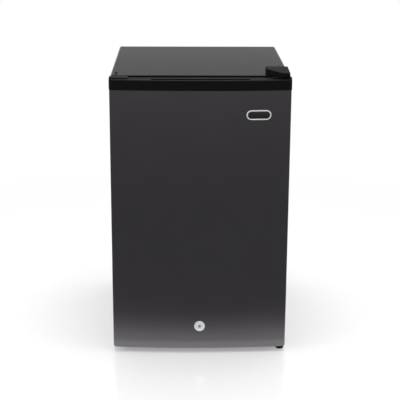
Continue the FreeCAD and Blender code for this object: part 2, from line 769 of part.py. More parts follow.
def make_bins():
    names = ("bottle_bin", "middle_bin", "upper_bin")
    reach = dyke_outer - dyke_width - 0.4
    for name, level, tall in zip(names, bin_bottoms, bin_heights):
        y = (panel_back + 0.4, bin_reach)
        z = (level, level + tall)
        tray = rounded(box((-reach, reach), y, z), 9.0, Z_AXIS, lambda centre: centre.y > 0)
        hollow = rounded(box((-reach + bin_wall, reach - bin_wall), (y[0] + bin_wall, y[1] - bin_wall),
                             (level + bin_wall, far)), 6.6, Z_AXIS, lambda centre: centre.y > 0)
        dip = box((-far, far), (-far, y[1] - 14), (level + tall * 0.72, far))
        window = box((-reach + 30, reach - 30), (y[1] - bin_wall - 1, far),
                     (level + tall * 0.62, level + tall - 9))
        window = rounded(window, min(4.0, tall * 0.08), Y_AXIS)
        save(name, tray.cut([hollow, dip, window]))


def frame_ring(outer_x, low, high, ring, y):
    """Upright rectangular ring of one width."""
    outer = box((-outer_x, outer_x), y, (low, high))
    inner = box((-outer_x + ring, outer_x - ring), (-far, far), (low + ring, high - ring))
    return outer.cut(inner)


def make_gasket():
    outer = hinge_x + gasket_past_hinge
    top = height - steel_top + 6 + gasket_width
    face = -gasket_play
    ring = frame_ring(outer, gasket_bottom, top, gasket_width, (panel_back, face))
    waist = [frame_ring(outer + 1, gasket_bottom - 1, top + 1, 4.0, (panel_back + 3.2, face - 5)),
             frame_ring(outer - gasket_width + 3.0, gasket_bottom + gasket_width - 3.0,
                        top - gasket_width + 3.0, 4.0, (panel_back + 3.2, face - 5))]
    inset = (gasket_width - magnet_width) / 2
    strip = frame_ring(outer - inset, gasket_bottom + inset, top - inset, magnet_width,
                       (face - magnet_thickness - 0.4, face - 0.4))
    channel = frame_ring(outer - inset + 0.1, gasket_bottom + inset - 0.1, top - inset + 0.1,
                         magnet_width + 0.2, (face - magnet_thickness - 0.5, face + 1))
    save("door_gasket", ring.cut(waist + [channel]))
    save("gasket_magnets", strip)


# ---------------------------------------------------------------- hinges, feet

def make_upper_hinge():
    z = (height, height + hinge_plate)
    plate = polygon(cover_outline(cover_wall + hinge_plate_clearance), z)
    plate = rounded(plate, cover_radius, Z_AXIS)
    pin = post(hinge_x, hinge_y, (height - top_pin_length, height + hinge_plate + 1.6), pin_radius)
    plate = plate.cut(screw_holes(fit, 1) + [post(x, y, (0, far), hinge_screw_radius + fit)
                                           for x, y in hinge_screw_places()])
    save("upper_hinge", joined(plate, pin))


def inset_polygon(points, distance):
    """Convex outline, listed counter-clockwise, drawn in by one distance on every side."""
    corners = []
    for k, point in enumerate(points):
        before = V(point[0] - points[k - 1][0], point[1] - points[k - 1][1], 0).normalize()
        after = points[(k + 1) % len(points)]
        after = V(after[0] - point[0], after[1] - point[1], 0).normalize()
        first = V(-before.y, before.x, 0)
        second = V(-after.y, after.x, 0)
        shift = (first + second) * (distance / (1 + first.dot(second)))
        corners.append((point[0] + shift.x, point[1] + shift.y))
    return corners


def cover_outline(inset):
    """Plan of the hinge cover: a five-sided box whose inner front corner is cut off."""
    right = half - cover_side_inset
    left = right - cover_width
    front = hinge_y - cover_ahead
    whole = [(left, cover_length_behind), (left, 18), (right - cover_nose, front), (right, front),
             (right, cover_length_behind)]
    return inset_polygon(whole, inset)


def cover_solid(inset, rise):
    body = polygon(cover_outline(inset), (height, height + rise))
    body = rounded(body, cover_radius - inset, Z_AXIS)
    front = hinge_y - cover_ahead
    slope = math.degrees(math.atan(cover_front_drop / (cover_length_behind - front)))
    lid = Part.makeBox(far, far, far, V(-far / 2, -far / 2, 0))
    lid.Placement = FreeCAD.Placement(V(0, cover_length_behind, height + rise),
                                      FreeCAD.Rotation(X_AXIS, slope))
    return body.cut(lid)


def make_hinge_cover():
    outer = cover_solid(0, cover_rise)
    top = [edge for edge in outer.Edges if edge.CenterOfMass.z > height + cover_rise / 2 + 3]
    outer = outer.makeFillet(1.6, top)
    inner = cover_solid(cover_wall, cover_rise - cover_wall)
    inner = inner.fuse(inner.translated(V(0, 0, -1)))
    save("hinge_cover", outer.cut(inner))


def make_lower_hinge():
    plate = box((hinge_x - 36, half - 1), (-hinge_plate, 0), (bottom_tab_top - hinge_plate, 60))
    plate = rounded(plate, 6.0, Y_AXIS, lambda centre: centre.z > 50)
    tab = box((hinge_x - 18, half - 1), (-bottom_tab_reach, 0),
              (bottom_tab_top - hinge_plate, bottom_tab_top))
    tab = rounded(tab, 9.0, Z_AXIS, lambda centre: centre.y < -bottom_tab_reach + 1)
    pin = post(hinge_x, hinge_y, (foot_stud_bottom, door_bottom + bottom_pin_length - 1), pin_radius)
    stub = post(hinge_x, hinge_y, (foot_stud_bottom, bottom_tab_top - 1), foot_stud_radius)
    washer = post(hinge_x, hinge_y, (bottom_tab_top, door_bottom - 0.5), bushing_collar)
    bracket = joined(plate, tab, pin, stub, washer)
    holes = [peg(x, z, (-far, far), hinge_screw_radius + fit) for x, z in bottom_screw_places()]
    save("lower_hinge", bracket.cut(holes))


def foot(x, y):
    """Levelling foot, a ribbed cup that turns on a fixed stud."""
    knob = post(x, y, (2.5, foot_height), foot_radius)
    sole = Part.makeCone(foot_radius - 2.5, foot_radius, 2.5, V(x, y, 0), Z_AXIS)
    ribs = [post(x + (foot_radius + 0.8) * math.cos(math.radians(30 * k)),
                 y + (foot_radius + 0.8) * math.sin(math.radians(30 * k)), (2.5, far), 2.0)
            for k in range(12)]
    socket = post(x, y, (foot_stud_bottom - 0.4, far), foot_stud_radius + foot_socket_play)
    return joined(knob, sole).cut(ribs + [socket])


def make_feet():
    save("right_foot", foot(hinge_x, hinge_y))
    save("left_foot", foot(-half + left_foot_inset, left_foot_behind))
    places = [V(side * (half - rear_foot_inset), rear_foot_y, 0) for side in (-1, 1)]
    save("rear_feet", *[Part.makeCone(rear_foot_radius - 3, rear_foot_radius, machine_floor, place, Z_AXIS)
                        for place in places])


# ---------------------------------------------------------------- lock and badge

def make_lock():
    face = face_at(0)[0]
    front = face - lock_proud
    disc = peg(0, lock_height, (front, face), lock_radius)
    rim = [edge for edge in disc.Edges if abs(edge.CenterOfMass.y - front) < 0.01]
    disc = disc.makeFillet(1.4, rim)
    groove = peg(0, lock_height, (front - 1, front + 0.8), lock_radius - 4.2).cut(
        peg(0, lock_height, (front - 2, front + 2), lock_radius - 6.4))
    barrel = peg(0, lock_height, (face, panel_back + nut_thickness), barrel_radius)
    bore = peg(0, lock_height, (-far, far), plug_bore)
    save("lock_barrel", joined(disc, barrel).cut([groove, bore]))

    nut = hexagon(0, 0, (0, nut_thickness), nut_flats)
    nut.Placement = FreeCAD.Placement(V(0, panel_back + nut_thickness, lock_height),
                                      FreeCAD.Rotation(X_AXIS, 90))
    save("lock_nut", nut.cut(peg(0, lock_height, (-far, far), barrel_radius + 0.05)))

    cam_back = panel_back + nut_thickness + 0.5
    plug = peg(0, lock_height, (front + 0.6, cam_back), plug_bore - plug_play)
    tang = box((-2.6, 2.6), (cam_back, cam_back + cam_sheet), (lock_height - 2.6, lock_height + 2.6))
    keyway = box((-0.9, 0.9), (front - 1, front + 14), (lock_height - 3.4, lock_height + 3.4))
    save("lock_plug", joined(plug, tang).cut(keyway))

    y = (cam_back, cam_back + cam_sheet)
    hub = peg(0, lock_height, y, 8.0)
    arm = box((0, cam_length - 5), y, (lock_height - 5, lock_height + 5))
    tip = peg(cam_length - 5, lock_height, y, 5.0)
    hole = box((-2.65, 2.65), (-far, far), (lock_height - 2.65, lock_height + 2.65))
    save("lock_cam", joined(hub, arm, tip).cut(hole))
    head = peg(0, lock_height, (y[1] + 0.05, y[1] + 2.2), 4.6)
    rim = [edge for edge in head.Edges if abs(edge.CenterOfMass.y - y[1] - 2.2) < 0.01]
    save("lock_cam_screw", head.makeFillet(0.7, rim))


def make_keeper():
    """Bracket on the cabinet's rail whose lip stands in front of the turned cam."""
    tip = lock_height - cam_length
    x = (-keeper_half_width, keeper_half_width)
    lip_front = panel_back + 0.7
    web_low = tip - 5 - keeper_sheet
    base = box(x, (-keeper_sheet, 0), (tip - 23, tip - 5))
    web = box(x, (lip_front, 0), (web_low, tip - 5))
    lip = box(x, (lip_front, lip_front + keeper_sheet), (web_low, lock_height - 17))
    keeper = joined(base, web, lip)
    holes = [peg(x, keeper_screw_height, (-far, far), hinge_screw_radius + fit)
             for x in keeper_screw_places]
    save("lock_keeper", keeper.cut(holes))


def pill(wide, tall, y, at):
    """Flat plate with round ends, facing -Y, centred on (0, at)."""
    straight = (wide - tall) / 2
    middle = box((-straight, straight), y, (at - tall / 2, at + tall / 2))
    ends = [peg(side * straight, at, y, tall / 2) for side in (-1, 1)]
    return joined(middle, *ends)


def make_badge():
    y, slope = face_at(badge_across)
    seat = FreeCAD.Placement(V(badge_across, y, 0), FreeCAD.Rotation(Z_AXIS, slope))
    rim = pill(badge_width, badge_height, (-badge_proud, -0.1), badge_centre)
    front = [edge for edge in rim.Edges if abs(edge.CenterOfMass.y + badge_proud) < 0.01]
    rim = rim.makeFillet(0.6, front)
    inset = 2 * badge_rim
    rim = rim.cut(pill(badge_width - inset, badge_height - inset, (-far, -0.7), badge_centre))
    rim.Placement = seat
    save("badge_rim", rim)
    field = pill(badge_width - inset - 0.1, badge_height - inset - 0.1, (-badge_proud + 0.5, -0.7),
                 badge_centre)
    field.Placement = seat
    save("badge_field", field)


# ---------------------------------------------------------------- machine space and condenser

def make_compressor_base():
    reach = half - sheet - fit
    y = (niche_front + sheet, cabinet_depth - 4)
    plate = box((-reach, reach), y, (machine_floor, machine_floor + base_plate))
    front = box((-reach, reach), (y[0], y[0] + base_plate), (machine_floor, pan_top + 20))
    sides = [box(sorted((side * reach, side * (reach - base_plate))), y,
                 (machine_floor, machine_floor + 30)) for side in (-1, 1)]
    rear = box((-reach, reach), (y[1] - base_plate, y[1]), (machine_floor, machine_floor + 16))
    base = joined(plate, front, rear, *sides)
    studs = [post(x, yy, (0, far), bolt_radius + fit) for x, yy in mount_places()]
    gland_x = gland_inset - half
    gland_z = machine_floor + 9
    save("compressor_base", base.cut(studs + [peg(gland_x, gland_z, (y[1] - 4, far), gland_radius)]))
    ring = peg(gland_x, gland_z, (y[1] - 5, y[1] + 2), gland_radius + 1.4)
    waist = peg(gland_x, gland_z, (y[1] - base_plate, y[1]), gland_radius + 2).cut(
        peg(gland_x, gland_z, (0, far), gland_radius - 0.05))
    save("cord_gland", ring.cut([waist, peg(gland_x, gland_z, (0, far), 3.2)]))


def mount_places():
    """Bolts of the compressor, across and behind."""
    return [(compressor_across + dx, compressor_y + dy) for dx in (-mount_across, mount_across)
            for dy in (-mount_behind, mount_behind)]


def make_compressor():
    r = compressor_radius
    z0 = compressor_low
    z1 = compressor_top
    middle = z0 + compressor_height * 0.46
    dome = compressor_dome
    rim = r + compressor_rim
    points = [V(0, 0, z0), V(r - dome, 0, z0), V(r, 0, z0 + dome), V(r, 0, middle), V(rim, 0, middle),
              V(rim, 0, middle + 5), V(r - 1, 0, middle + 5), V(r - 1, 0, z1 - dome - 6),
              V(r - 1 - dome, 0, z1), V(0, 0, z1)]
    low_mid = V(r - dome * (1 - math.sqrt(0.5)), 0, z0 + dome * (1 - math.sqrt(0.5)))
    high = dome + 6
    top_mid = V(r - 1 - dome * (1 - math.sqrt(0.5)), 0, z1 - high * (1 - math.sqrt(0.5)))
    edges = [Part.LineSegment(points[0], points[1]).toShape(),
             Part.Arc(points[1], low_mid, points[2]).toShape()]
    edges += [Part.LineSegment(points[k], points[k + 1]).toShape() for k in range(2, 7)]
    edges += [Part.Arc(points[7], top_mid, points[8]).toShape(),
              Part.LineSegment(points[8], points[9]).toShape(),
              Part.LineSegment(points[9], points[0]).toShape()]
    pot = Part.Face(Part.Wire(edges)).revolve(V(0, 0, 0), Z_AXIS, 360)
    pot.translate(V(compressor_across, compressor_y, 0))
    save("compressor", pot)



def make_compressor_mount():
    """Plate under the compressor on four rubber grommets, each held down by a bolt."""
    neck = 7.0
    wide = mount_across + 16
    deep = mount_behind + 14
    plate = box((compressor_across - wide, compressor_across + wide),
                (compressor_y - deep, compressor_y + deep), (mount_low, mount_low + mount_sheet))
    plate = rounded(plate, 14.0, Z_AXIS)
    saddle = post(compressor_across, compressor_y, (mount_low, compressor_low),
                  compressor_radius - compressor_dome - 4)
    plate = plate.cut([post(x, y, (0, far), neck) for x, y in mount_places()])
    save("compressor_mount", joined(plate, saddle))

    grommet_top = mount_low + 7
    grommets = []
    bolts = []
    for x, y in mount_places():
        body = post(x, y, (machine_floor + base_plate, grommet_top), neck + 2)
        waist = post(x, y, (mount_low - 0.1, mount_low + mount_sheet + 0.1), far).cut(
            post(x, y, (0, far), neck - 0.1))
        grommets.append(body.cut([waist, post(x, y, (0, far), bolt_radius + 0.1)]))
        bolt = post(x, y, (machine_floor - 2, grommet_top + 2), bolt_radius)
        bolts.append(joined(bolt, hexagon(x, y, (grommet_top + 0.1, grommet_top + 5), 10.0)))
    save("compressor_grommets", *grommets)
    save("compressor_bolts", *bolts)


def make_relay_cover():
    side = compressor_across - compressor_radius
    cover = box((side - 30, side + 14), (compressor_y - 30, compressor_y + 30),
                (compressor_low + 48, compressor_low + 112))
    cover = rounded(cover, 6.0, X_AXIS)
    pot_room = post(compressor_across, compressor_y, (0, far),
                    compressor_radius + compressor_rim + 2 * fit)
    save("relay_cover", cover.cut(pot_room))


def make_tray():
    z = (tray_top - tray_height, tray_top)
    x = (compressor_across - 60, compressor_across + 84)
    y = (compressor_y - 58, compressor_y + 44)
    wall = tray_wall
    tray = rounded(box(x, y, z), 10.0, Z_AXIS)
    hollow = rounded(box((x[0] + wall, x[1] - wall), (y[0] + wall, y[1] - wall), (z[0] + wall, far)),
                     10.0 - wall, Z_AXIS)
    save("evaporation_tray", tray.cut(hollow))


def wire_spread():
    """Distance from the first to the last condenser wire, inside the tube's bends."""
    return condenser_width - condenser_pitch - 16


def clip_places():
    """Clips of the condenser, midway between two wires, on the second run and the last but one."""
    rows = (1, condenser_passes - 2)
    across = wire_spread() / 2 - 1.5 * wire_spread() / (condenser_wires - 1)
    return [(side * across, condenser_low + row * condenser_pitch) for side in (-1, 1) for row in rows]


def clip_screw_places():
    return [(x, z - 15) for x, z in clip_places()]


def make_condenser():
    y = back_plane + condenser_stand
    reach = condenser_width / 2
    bend = condenser_pitch / 2
    points = []
    for row in range(condenser_passes):
        z = condenser_low + row * condenser_pitch
        ends = (-reach, reach) if row % 2 == 0 else (reach, -reach)
        points += [(ends[0], y, z), (ends[1], y, z)]
    path = []
    for row in range(condenser_passes):
        first, last = points[2 * row], points[2 * row + 1]
        inset = bend if row % 2 == 0 else -bend
        start = V(first[0] + (0 if row == 0 else inset), y, first[2])
        stop = V(last[0] - inset, y, last[2])
        path.append(Part.LineSegment(start, stop).toShape())
        if row + 1 < condenser_passes:
            top = V(stop.x, y, stop.z + condenser_pitch)
            bulge = V(stop.x + inset, y, stop.z + bend)
            path.append(Part.Arc(stop, bulge, top).toShape())
    section = Part.Wire([Part.makeCircle(tube_radius, V(-reach, y, condenser_low), X_AXIS)])
    serpentine = Part.Wire(path).makePipeShell([section], True, True)
    save("condenser_tube", serpentine)

    low = condenser_low - 14
    high = condenser_low + (condenser_passes - 1) * condenser_pitch + 14
    spread = wire_spread()
    offset = tube_radius + wire_radius + wire_play
    wires = []
    for k in range(condenser_wires):
        x = -spread / 2 + spread * k / (condenser_wires - 1)
        for side in (-1, 1):
            wires.append(post(x, y + side * offset, (low, high), wire_radius))
    save("condenser_wires", *wires)

    clips = []
    for x, z in clip_places():
        arm = box((x - 4, x + 4), (back_plane, y + tube_radius + 2), (z - 6, z + 6))
        foot_plate = box((x - 4, x + 4), (back_plane, back_plane + clip_foot), (z - 22, z + 6))
        clip = joined(arm, foot_plate)
        slot = box((x - 5, x + 5), (y, far), (z - tube_radius * 0.8, z + tube_radius * 0.8))
        clips.append(clip.cut([bar(y, z, (x - 5, x + 5), tube_radius + 0.1), slot,
                               peg(x, z - 15, (0, far), hinge_screw_radius + fit)]))
    save("condenser_clips", *clips)


def make_screws():
    """The cabinet's pan-head screws, all of one size."""
    plate_face = cavity_back - evaporator_standoff - evaporator_sheet
    down = V(0, 0, -1)
    screws = [screw(x, y, height + hinge_plate, down, screw_depth) for x, y in hinge_screw_places()]
    screws += [screw(x, -hinge_plate, z, Y_AXIS, screw_depth) for x, z in bottom_screw_places()]
    screws += [screw(x, -keeper_sheet, keeper_screw_height, Y_AXIS, screw_depth)
               for x in keeper_screw_places]
    screws += [screw(x, plate_face, z, Y_AXIS, screw_depth) for x, z in evaporator_corners()]
    screws += [screw(x, back_plane + clip_foot, z, V(0, -1, 0), screw_depth)
               for x, z in clip_screw_places()]
    save("pan_head_screws", *screws)


def on_pot(bearing, up, out):
    """Point beside the compressor: bearing in degrees from +X, height above its base, distance out."""
    reach = compressor_radius + out
    angle = math.radians(bearing)
    return (compressor_across + reach * math.cos(angle), compressor_y + reach * math.sin(angle),
            compressor_low + up)


def make_pipes():
    y = back_plane + condenser_stand
    drier_x = -half + 96
    drier_y = compressor_y + 40
    drier_low = compressor_low + 20
    drier_high = drier_low + drier_length
    body = post(drier_x, drier_y, (drier_low, drier_high), drier_radius)
    ends = [edge for edge in body.Edges if edge.Closed]
    save("filter_drier", body.makeFillet(4.0, ends))

    last_low = condenser_low
    left = -condenser_width / 2
    down = [(left - seam, y, last_low), (left - 22, y, last_low), (left - 22, y, drier_high + 26),
            (drier_x, drier_y, drier_high + 26), (drier_x, drier_y, drier_high + seam)]
    liquid = tube(down, pipe_bend, tube_radius)

    rows = condenser_passes - 1
    top = condenser_low + rows * condenser_pitch
    end_x = condenser_width / 2 if rows % 2 == 0 else -condenser_width / 2
    out_x = end_x - condenser_pitch / 2 + seam
    hot = [(out_x, y, top), (half - 26, y, top), (half - 26, y, compressor_low + 100),
           on_pot(36, 40, 34), on_pot(36, 40, seam)]
    discharge = tube(hot, pipe_bend, tube_radius)

    charge = [on_pot(128, 56, seam), on_pot(128, 56, 17), on_pot(128, 108, 17)]
    process = tube(charge, 7.0, tube_radius)

    bend_point = on_pot(218, 36, 36)
    suction = [(bend_point[0], bend_point[1], niche_height - seam), bend_point, on_pot(218, 36, seam)]
    suction_pipe = tube(suction, 14.0, tube_radius + 0.8)

    turn = (drier_x + 26, drier_y - 30)
    capillary = [(drier_x, drier_y, drier_low - seam), (drier_x, drier_y, drier_low - 22),
                 (*turn, drier_low - 22), (*turn, niche_height - seam)]
    save("copper_pipes", liquid, discharge, process, suction_pipe,
         tube(capillary, pipe_bend, capillary_radius))


os.makedirs("parts", exist_ok=True)
make_cabinet_shell()
make_hole_plugs()
make_front_rail()
make_base_pan()
make_back_panel()
make_niche_panel()
make_cabinet_foam()
make_liner()
make_shelves()
make_evaporator()
make_drain()
make_thermostat()
make_door_skin()
make_top_cap()
make_bottom_cap()
make_bushings()
make_door_inner()
make_door_foam()
make_bins()
make_gasket()
make_upper_hinge()
make_hinge_cover()
make_lower_hinge()
make_feet()
make_lock()
make_keeper()
make_badge()
make_compressor_base()
make_compressor()
make_compressor_mount()
make_relay_cover()
make_tray()
make_condenser()
make_pipes()
make_screws()
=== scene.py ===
import json
import math

import bmesh
import bpy
from mathutils import Matrix, Vector


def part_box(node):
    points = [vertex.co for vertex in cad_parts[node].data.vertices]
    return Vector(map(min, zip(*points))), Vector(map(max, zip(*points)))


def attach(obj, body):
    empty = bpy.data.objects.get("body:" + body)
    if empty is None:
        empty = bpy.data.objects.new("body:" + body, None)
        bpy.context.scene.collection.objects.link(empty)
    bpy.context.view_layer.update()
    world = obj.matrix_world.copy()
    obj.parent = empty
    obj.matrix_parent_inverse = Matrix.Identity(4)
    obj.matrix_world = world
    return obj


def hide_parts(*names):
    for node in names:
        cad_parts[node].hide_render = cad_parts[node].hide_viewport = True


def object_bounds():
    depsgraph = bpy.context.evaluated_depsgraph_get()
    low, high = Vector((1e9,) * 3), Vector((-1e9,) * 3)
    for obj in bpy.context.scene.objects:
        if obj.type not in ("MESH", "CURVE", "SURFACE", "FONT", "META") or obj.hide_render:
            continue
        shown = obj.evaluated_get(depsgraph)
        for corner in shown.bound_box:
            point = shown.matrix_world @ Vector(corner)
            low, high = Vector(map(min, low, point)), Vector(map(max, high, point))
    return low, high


# Compact upright refrigerator: looks. Metres, +Z up, the door faces -Y and hangs on the +X side.

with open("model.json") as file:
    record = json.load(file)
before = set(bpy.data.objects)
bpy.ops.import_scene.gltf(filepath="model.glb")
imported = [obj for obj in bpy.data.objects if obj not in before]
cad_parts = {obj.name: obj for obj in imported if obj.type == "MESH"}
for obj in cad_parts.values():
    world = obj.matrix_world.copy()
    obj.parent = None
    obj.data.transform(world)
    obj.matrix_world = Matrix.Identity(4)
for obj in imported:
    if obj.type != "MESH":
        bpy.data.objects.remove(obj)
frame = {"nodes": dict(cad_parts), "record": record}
cad_low, cad_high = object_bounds()
cad = frame["nodes"]
body_of = {node: body for body, held in frame["record"]["behaviour"]["bodies"].items() for node in held}
slot_of = {part["node"]: part["material_slot"] for part in frame["record"]["subparts"]}

MM = 0.001

# Door
door_bow = 12 * MM
door_corner = 10 * MM
door_sheet = 0.8 * MM
door_hem = 12 * MM
lock_bore = 9.7 * MM

# Lock and badge
plug_bore = 5.2 * MM
barrel_radius = 9.5 * MM
thread_pitch = 1.5 * MM
thread_depth = 0.5 * MM
badge_rim_width = 3.6 * MM
badge_slot = 0.4 * MM

# Dial
dial_mark_count = 9
dial_mark_length = 4 * MM
dial_mark_gap = 4.5 * MM      # from the knob's edge to the marks
dial_sweep = math.radians(300)

# Condenser
condenser_runs = 13
condenser_wires = 19
wire_radius = 0.8 * MM

# Room
camera_place = Vector((-0.0561, -3.2333, 1.3720))
camera_yaw = -0.01884
camera_pitch = -0.27412
camera_roll = 0.0048
camera_focal = 97.53          # on a 36 mm sensor
camera_rise = -0.06           # lens shift, in sensor widths
room_half = 12.0              # half the width of the floor and of the card over it
floor_fade = (0.7, 1.9)       # distances from the middle between which the floor turns into white
card_hole = (0.275, 0.31)     # half sizes of the card's opening for the object
card_height = 2 * MM
card_reach = 5.0              # distance from the object over which the card is graded
# painted reflection: glow of the card that only reflections see, bright by the door and dark further off
painted_reflection_tones = (                # share of the reach, tone
    (0.006, 1.15), (0.024, 0.78), (0.04, 0.38), (0.06, 0.15), (0.32, 0.13), (0.54, 0.15), (0.9, 0.2))
sky_tones = (                 # sine of the height over the horizon, tone
    (0.1, 1.1), (0.155, 0.42), (0.2, 0.12), (0.4, 0.6))


# ---------------------------------------------------------------- nodes and colours

def add(tree, kind, sockets=None, **settings):
    """Add a node with its settings, and give its sockets their values or links."""
    node = tree.nodes.new(kind)
    for name, value in settings.items():
        setattr(node, name, value)
    for name, value in (sockets or {}).items():
        if isinstance(value, bpy.types.NodeSocket):
            tree.links.new(value, node.inputs[name])
        else:
            node.inputs[name].default_value = value
    return node


def paint(code):
    """Linear RGBA of an sRGB hex colour."""
    shares = [int(code[k:k + 2], 16) / 255 for k in (1, 3, 5)]
    return (*[c / 12.92 if c < 0.04045 else ((c + 0.055) / 1.055) ** 2.4 for c in shares], 1.0)


def every(size):
    """Texture scale that repeats about once in a size in millimetres."""
    return 1 / (size * MM)


def new_finish(name, **shader):
    """Material with one Principled shader. Returns the material, its tree, the shader and the place."""
    material = bpy.data.materials.new(name)
    material.use_nodes = True
    tree = material.node_tree
    tree.nodes.clear()
    main = add(tree, "ShaderNodeBsdfPrincipled", {key.replace("_", " "): v for key, v in shader.items()})
    add(tree, "ShaderNodeOutputMaterial", {"Surface": main.outputs["BSDF"]})
    place = add(tree, "ShaderNodeTexCoord").outputs["Object"]
    return material, tree, main, place


def grain(tree, place, size, detail=2.0):
    """Noise with features of about one size in millimetres."""
    return add(tree, "ShaderNodeTexNoise", {"Vector": place, "Scale": every(size), "Detail": detail,
                                            "Roughness": 0.5}).outputs[0]


def spread(tree, value, low, high):
    """Map the middle of a noise to a span of values."""
    return add(tree, "ShaderNodeMapRange", {"Value": value, "From Min": 0.3, "From Max": 0.7,
                                            "To Min": low, "To Max": high}).outputs[0]


def shades(tree, value, dark, light):
    """Colour between two hex shades, by a value."""
    return add(tree, "ShaderNodeMix", {"Factor": spread(tree, value, 0, 1), 6: paint(dark),
                                       7: paint(light)}, data_type="RGBA").outputs[2]


def press(tree, main, height, depth):
    """Bump of a depth in millimetres."""
    relief = add(tree, "ShaderNodeBump", {"Height": height, "Distance": depth * MM, "Strength": 1.0})
    tree.links.new(relief.outputs[0], main.inputs["Normal"])


def feed(tree, main, socket, value):
    tree.links.new(value, main.inputs[socket])


# ---------------------------------------------------------------- finishes

def charcoal_door_paint():
    """Charcoal coil-coated steel: metal flakes under a satin clear coat, with a faint orange peel."""
    material, tree, main, place = new_finish("charcoal_flake_paint", Metallic=0.9, Roughness=0.2,
                                             Coat_Weight=0.1, Coat_Roughness=0.1)
    # Flakes are 0.05 mm; they are drawn at 1.2 mm so that they show at all.
    feed(tree, main, "Base Color", shades(tree, grain(tree, place, 1.2, 3.0), "#615e62", "#676468"))
    feed(tree, main, "Roughness", spread(tree, grain(tree, place, 60, 3.0), 0.2, 0.23))
    press(tree, main, grain(tree, place, 3.0, 1.0), 0.004)
    return material


def sprayed_abs():
    """ABS cap sprayed to match the door: the same flakes over a slightly softer surface."""
    material, tree, main, place = new_finish("charcoal_sprayed_abs", Metallic=0.85, Roughness=0.24,
                                             Coat_Weight=0.1, Coat_Roughness=0.12)
    feed(tree, main, "Base Color", shades(tree, grain(tree, place, 1.2, 3.0), "#6b686c", "#716e72"))
    feed(tree, main, "Roughness", spread(tree, grain(tree, place, 30, 3.0), 0.23, 0.27))
    press(tree, main, grain(tree, place, 2.0, 2.0), 0.006)
    return material


def black_powder_coat():
    """Black powder coat on the cabinet's sheet: satin, with a fine even orange peel."""
    material, tree, main, place = new_finish("black_powder_coat", Roughness=0.22, Specular_IOR_Level=0.05)
    feed(tree, main, "Base Color", shades(tree, grain(tree, place, 40, 4.0), "#171718", "#18181a"))
    feed(tree, main, "Roughness", spread(tree, grain(tree, place, 25, 3.0), 0.21, 0.24))
    press(tree, main, grain(tree, place, 1.8, 2.0), 0.03)
    return material


def galvanised_sheet():
    """Hot-dip galvanised sheet: zinc crystals about 6 mm wide that differ a little in grey."""
    material, tree, main, place = new_finish("galvanised_sheet", Metallic=1.0, Roughness=0.42)
    spangle = add(tree, "ShaderNodeTexVoronoi", {"Vector": place, "Scale": every(6)}).outputs["Color"]
    shade = add(tree, "ShaderNodeSeparateColor", {"Color": spangle}).outputs[0]
    feed(tree, main, "Base Color", shades(tree, shade, "#afb2b5", "#bfc2c4"))
    feed(tree, main, "Roughness", spread(tree, shade, 0.4, 0.48))
    press(tree, main, grain(tree, place, 9, 3.0), 0.05)
    return material


def black_abs():
    """Moulded black ABS: spark-eroded grain of about 0.3 mm, drawn at 0.9 mm to show."""
    material, tree, main, place = new_finish("black_moulded_abs", Roughness=0.5, Specular_IOR_Level=0.1)
    feed(tree, main, "Base Color", shades(tree, grain(tree, place, 30), "#09090a", "#0c0c0d"))
    feed(tree, main, "Roughness", spread(tree, grain(tree, place, 18, 3.0), 0.48, 0.54))
    press(tree, main, grain(tree, place, 0.9, 2.0), 0.03)
    return material


def white_liner():
    """Vacuum-formed polystyrene liner: glossy white with the slow waves of a drawn sheet."""
    material, tree, main, place = new_finish("white_formed_styrene", Roughness=0.2, IOR=1.59,
                                             Subsurface_Weight=0.08, Subsurface_Scale=0.004)
    feed(tree, main, "Base Color", shades(tree, grain(tree, place, 80), "#e9ebea", "#f0f1f0"))
    feed(tree, main, "Roughness", spread(tree, grain(tree, place, 30, 3.0), 0.17, 0.26))
    press(tree, main, grain(tree, place, 35, 2.0), 0.12)
    return material


def clear_styrene():
    """Crystal polystyrene bins: water clear with a cool tint and fine flow lines."""
    material, tree, main, place = new_finish("clear_crystal_styrene", IOR=1.59, Transmission_Weight=0.92)
    feed(tree, main, "Base Color", shades(tree, grain(tree, place, 40), "#e3eef2", "#eef5f7"))
    feed(tree, main, "Roughness", spread(tree, grain(tree, place, 12, 3.0), 0.05, 0.12))
    press(tree, main, grain(tree, place, 16, 2.0), 0.04)
    return material


def toughened_glass():
    """Float glass shelf: clear with the green of its iron."""
    material, tree, main, place = new_finish("toughened_glass", IOR=1.52, Transmission_Weight=1.0)
    feed(tree, main, "Base Color", shades(tree, grain(tree, place, 120), "#cfe6dd", "#d6eae2"))
    feed(tree, main, "Roughness", spread(tree, grain(tree, place, 40, 3.0), 0.0, 0.03))
    press(tree, main, grain(tree, place, 90, 1.0), 0.02)
    return material


def polyurethane_foam():
    """Rigid poured foam: straw yellow, with cells of about 0.5 mm drawn at 1.5 mm."""
    material, tree, main, place = new_finish("rigid_foam", Roughness=0.95)
    feed(tree, main, "Base Color", shades(tree, grain(tree, place, 25, 4.0), "#d9c27e", "#e6d49a"))
    cells = add(tree, "ShaderNodeTexVoronoi", {"Vector": place, "Scale": every(1.5)}).outputs["Distance"]
    press(tree, main, cells, 0.3)
    return material


def grey_vinyl():
    """Soft extruded PVC seal: matt grey with faint lines drawn along the die."""
    material, tree, main, place = new_finish("grey_soft_vinyl", Roughness=0.55, IOR=1.53,
                                             Sheen_Weight=0.1)
    feed(tree, main, "Base Color", shades(tree, grain(tree, place, 22, 3.0), "#77797b", "#808284"))
    feed(tree, main, "Roughness", spread(tree, grain(tree, place, 8, 2.0), 0.48, 0.62))
    press(tree, main, grain(tree, place, 1.2, 2.0), 0.03)
    return material


def ferrite_rubber():
    """Ferrite powder bound in rubber: dark brown and dull."""
    material, tree, main, place = new_finish("ferrite_rubber", Roughness=0.8)
    feed(tree, main, "Base Color", shades(tree, grain(tree, place, 2, 3.0), "#2c2622", "#38302b"))
    press(tree, main, grain(tree, place, 1.0), 0.04)
    return material


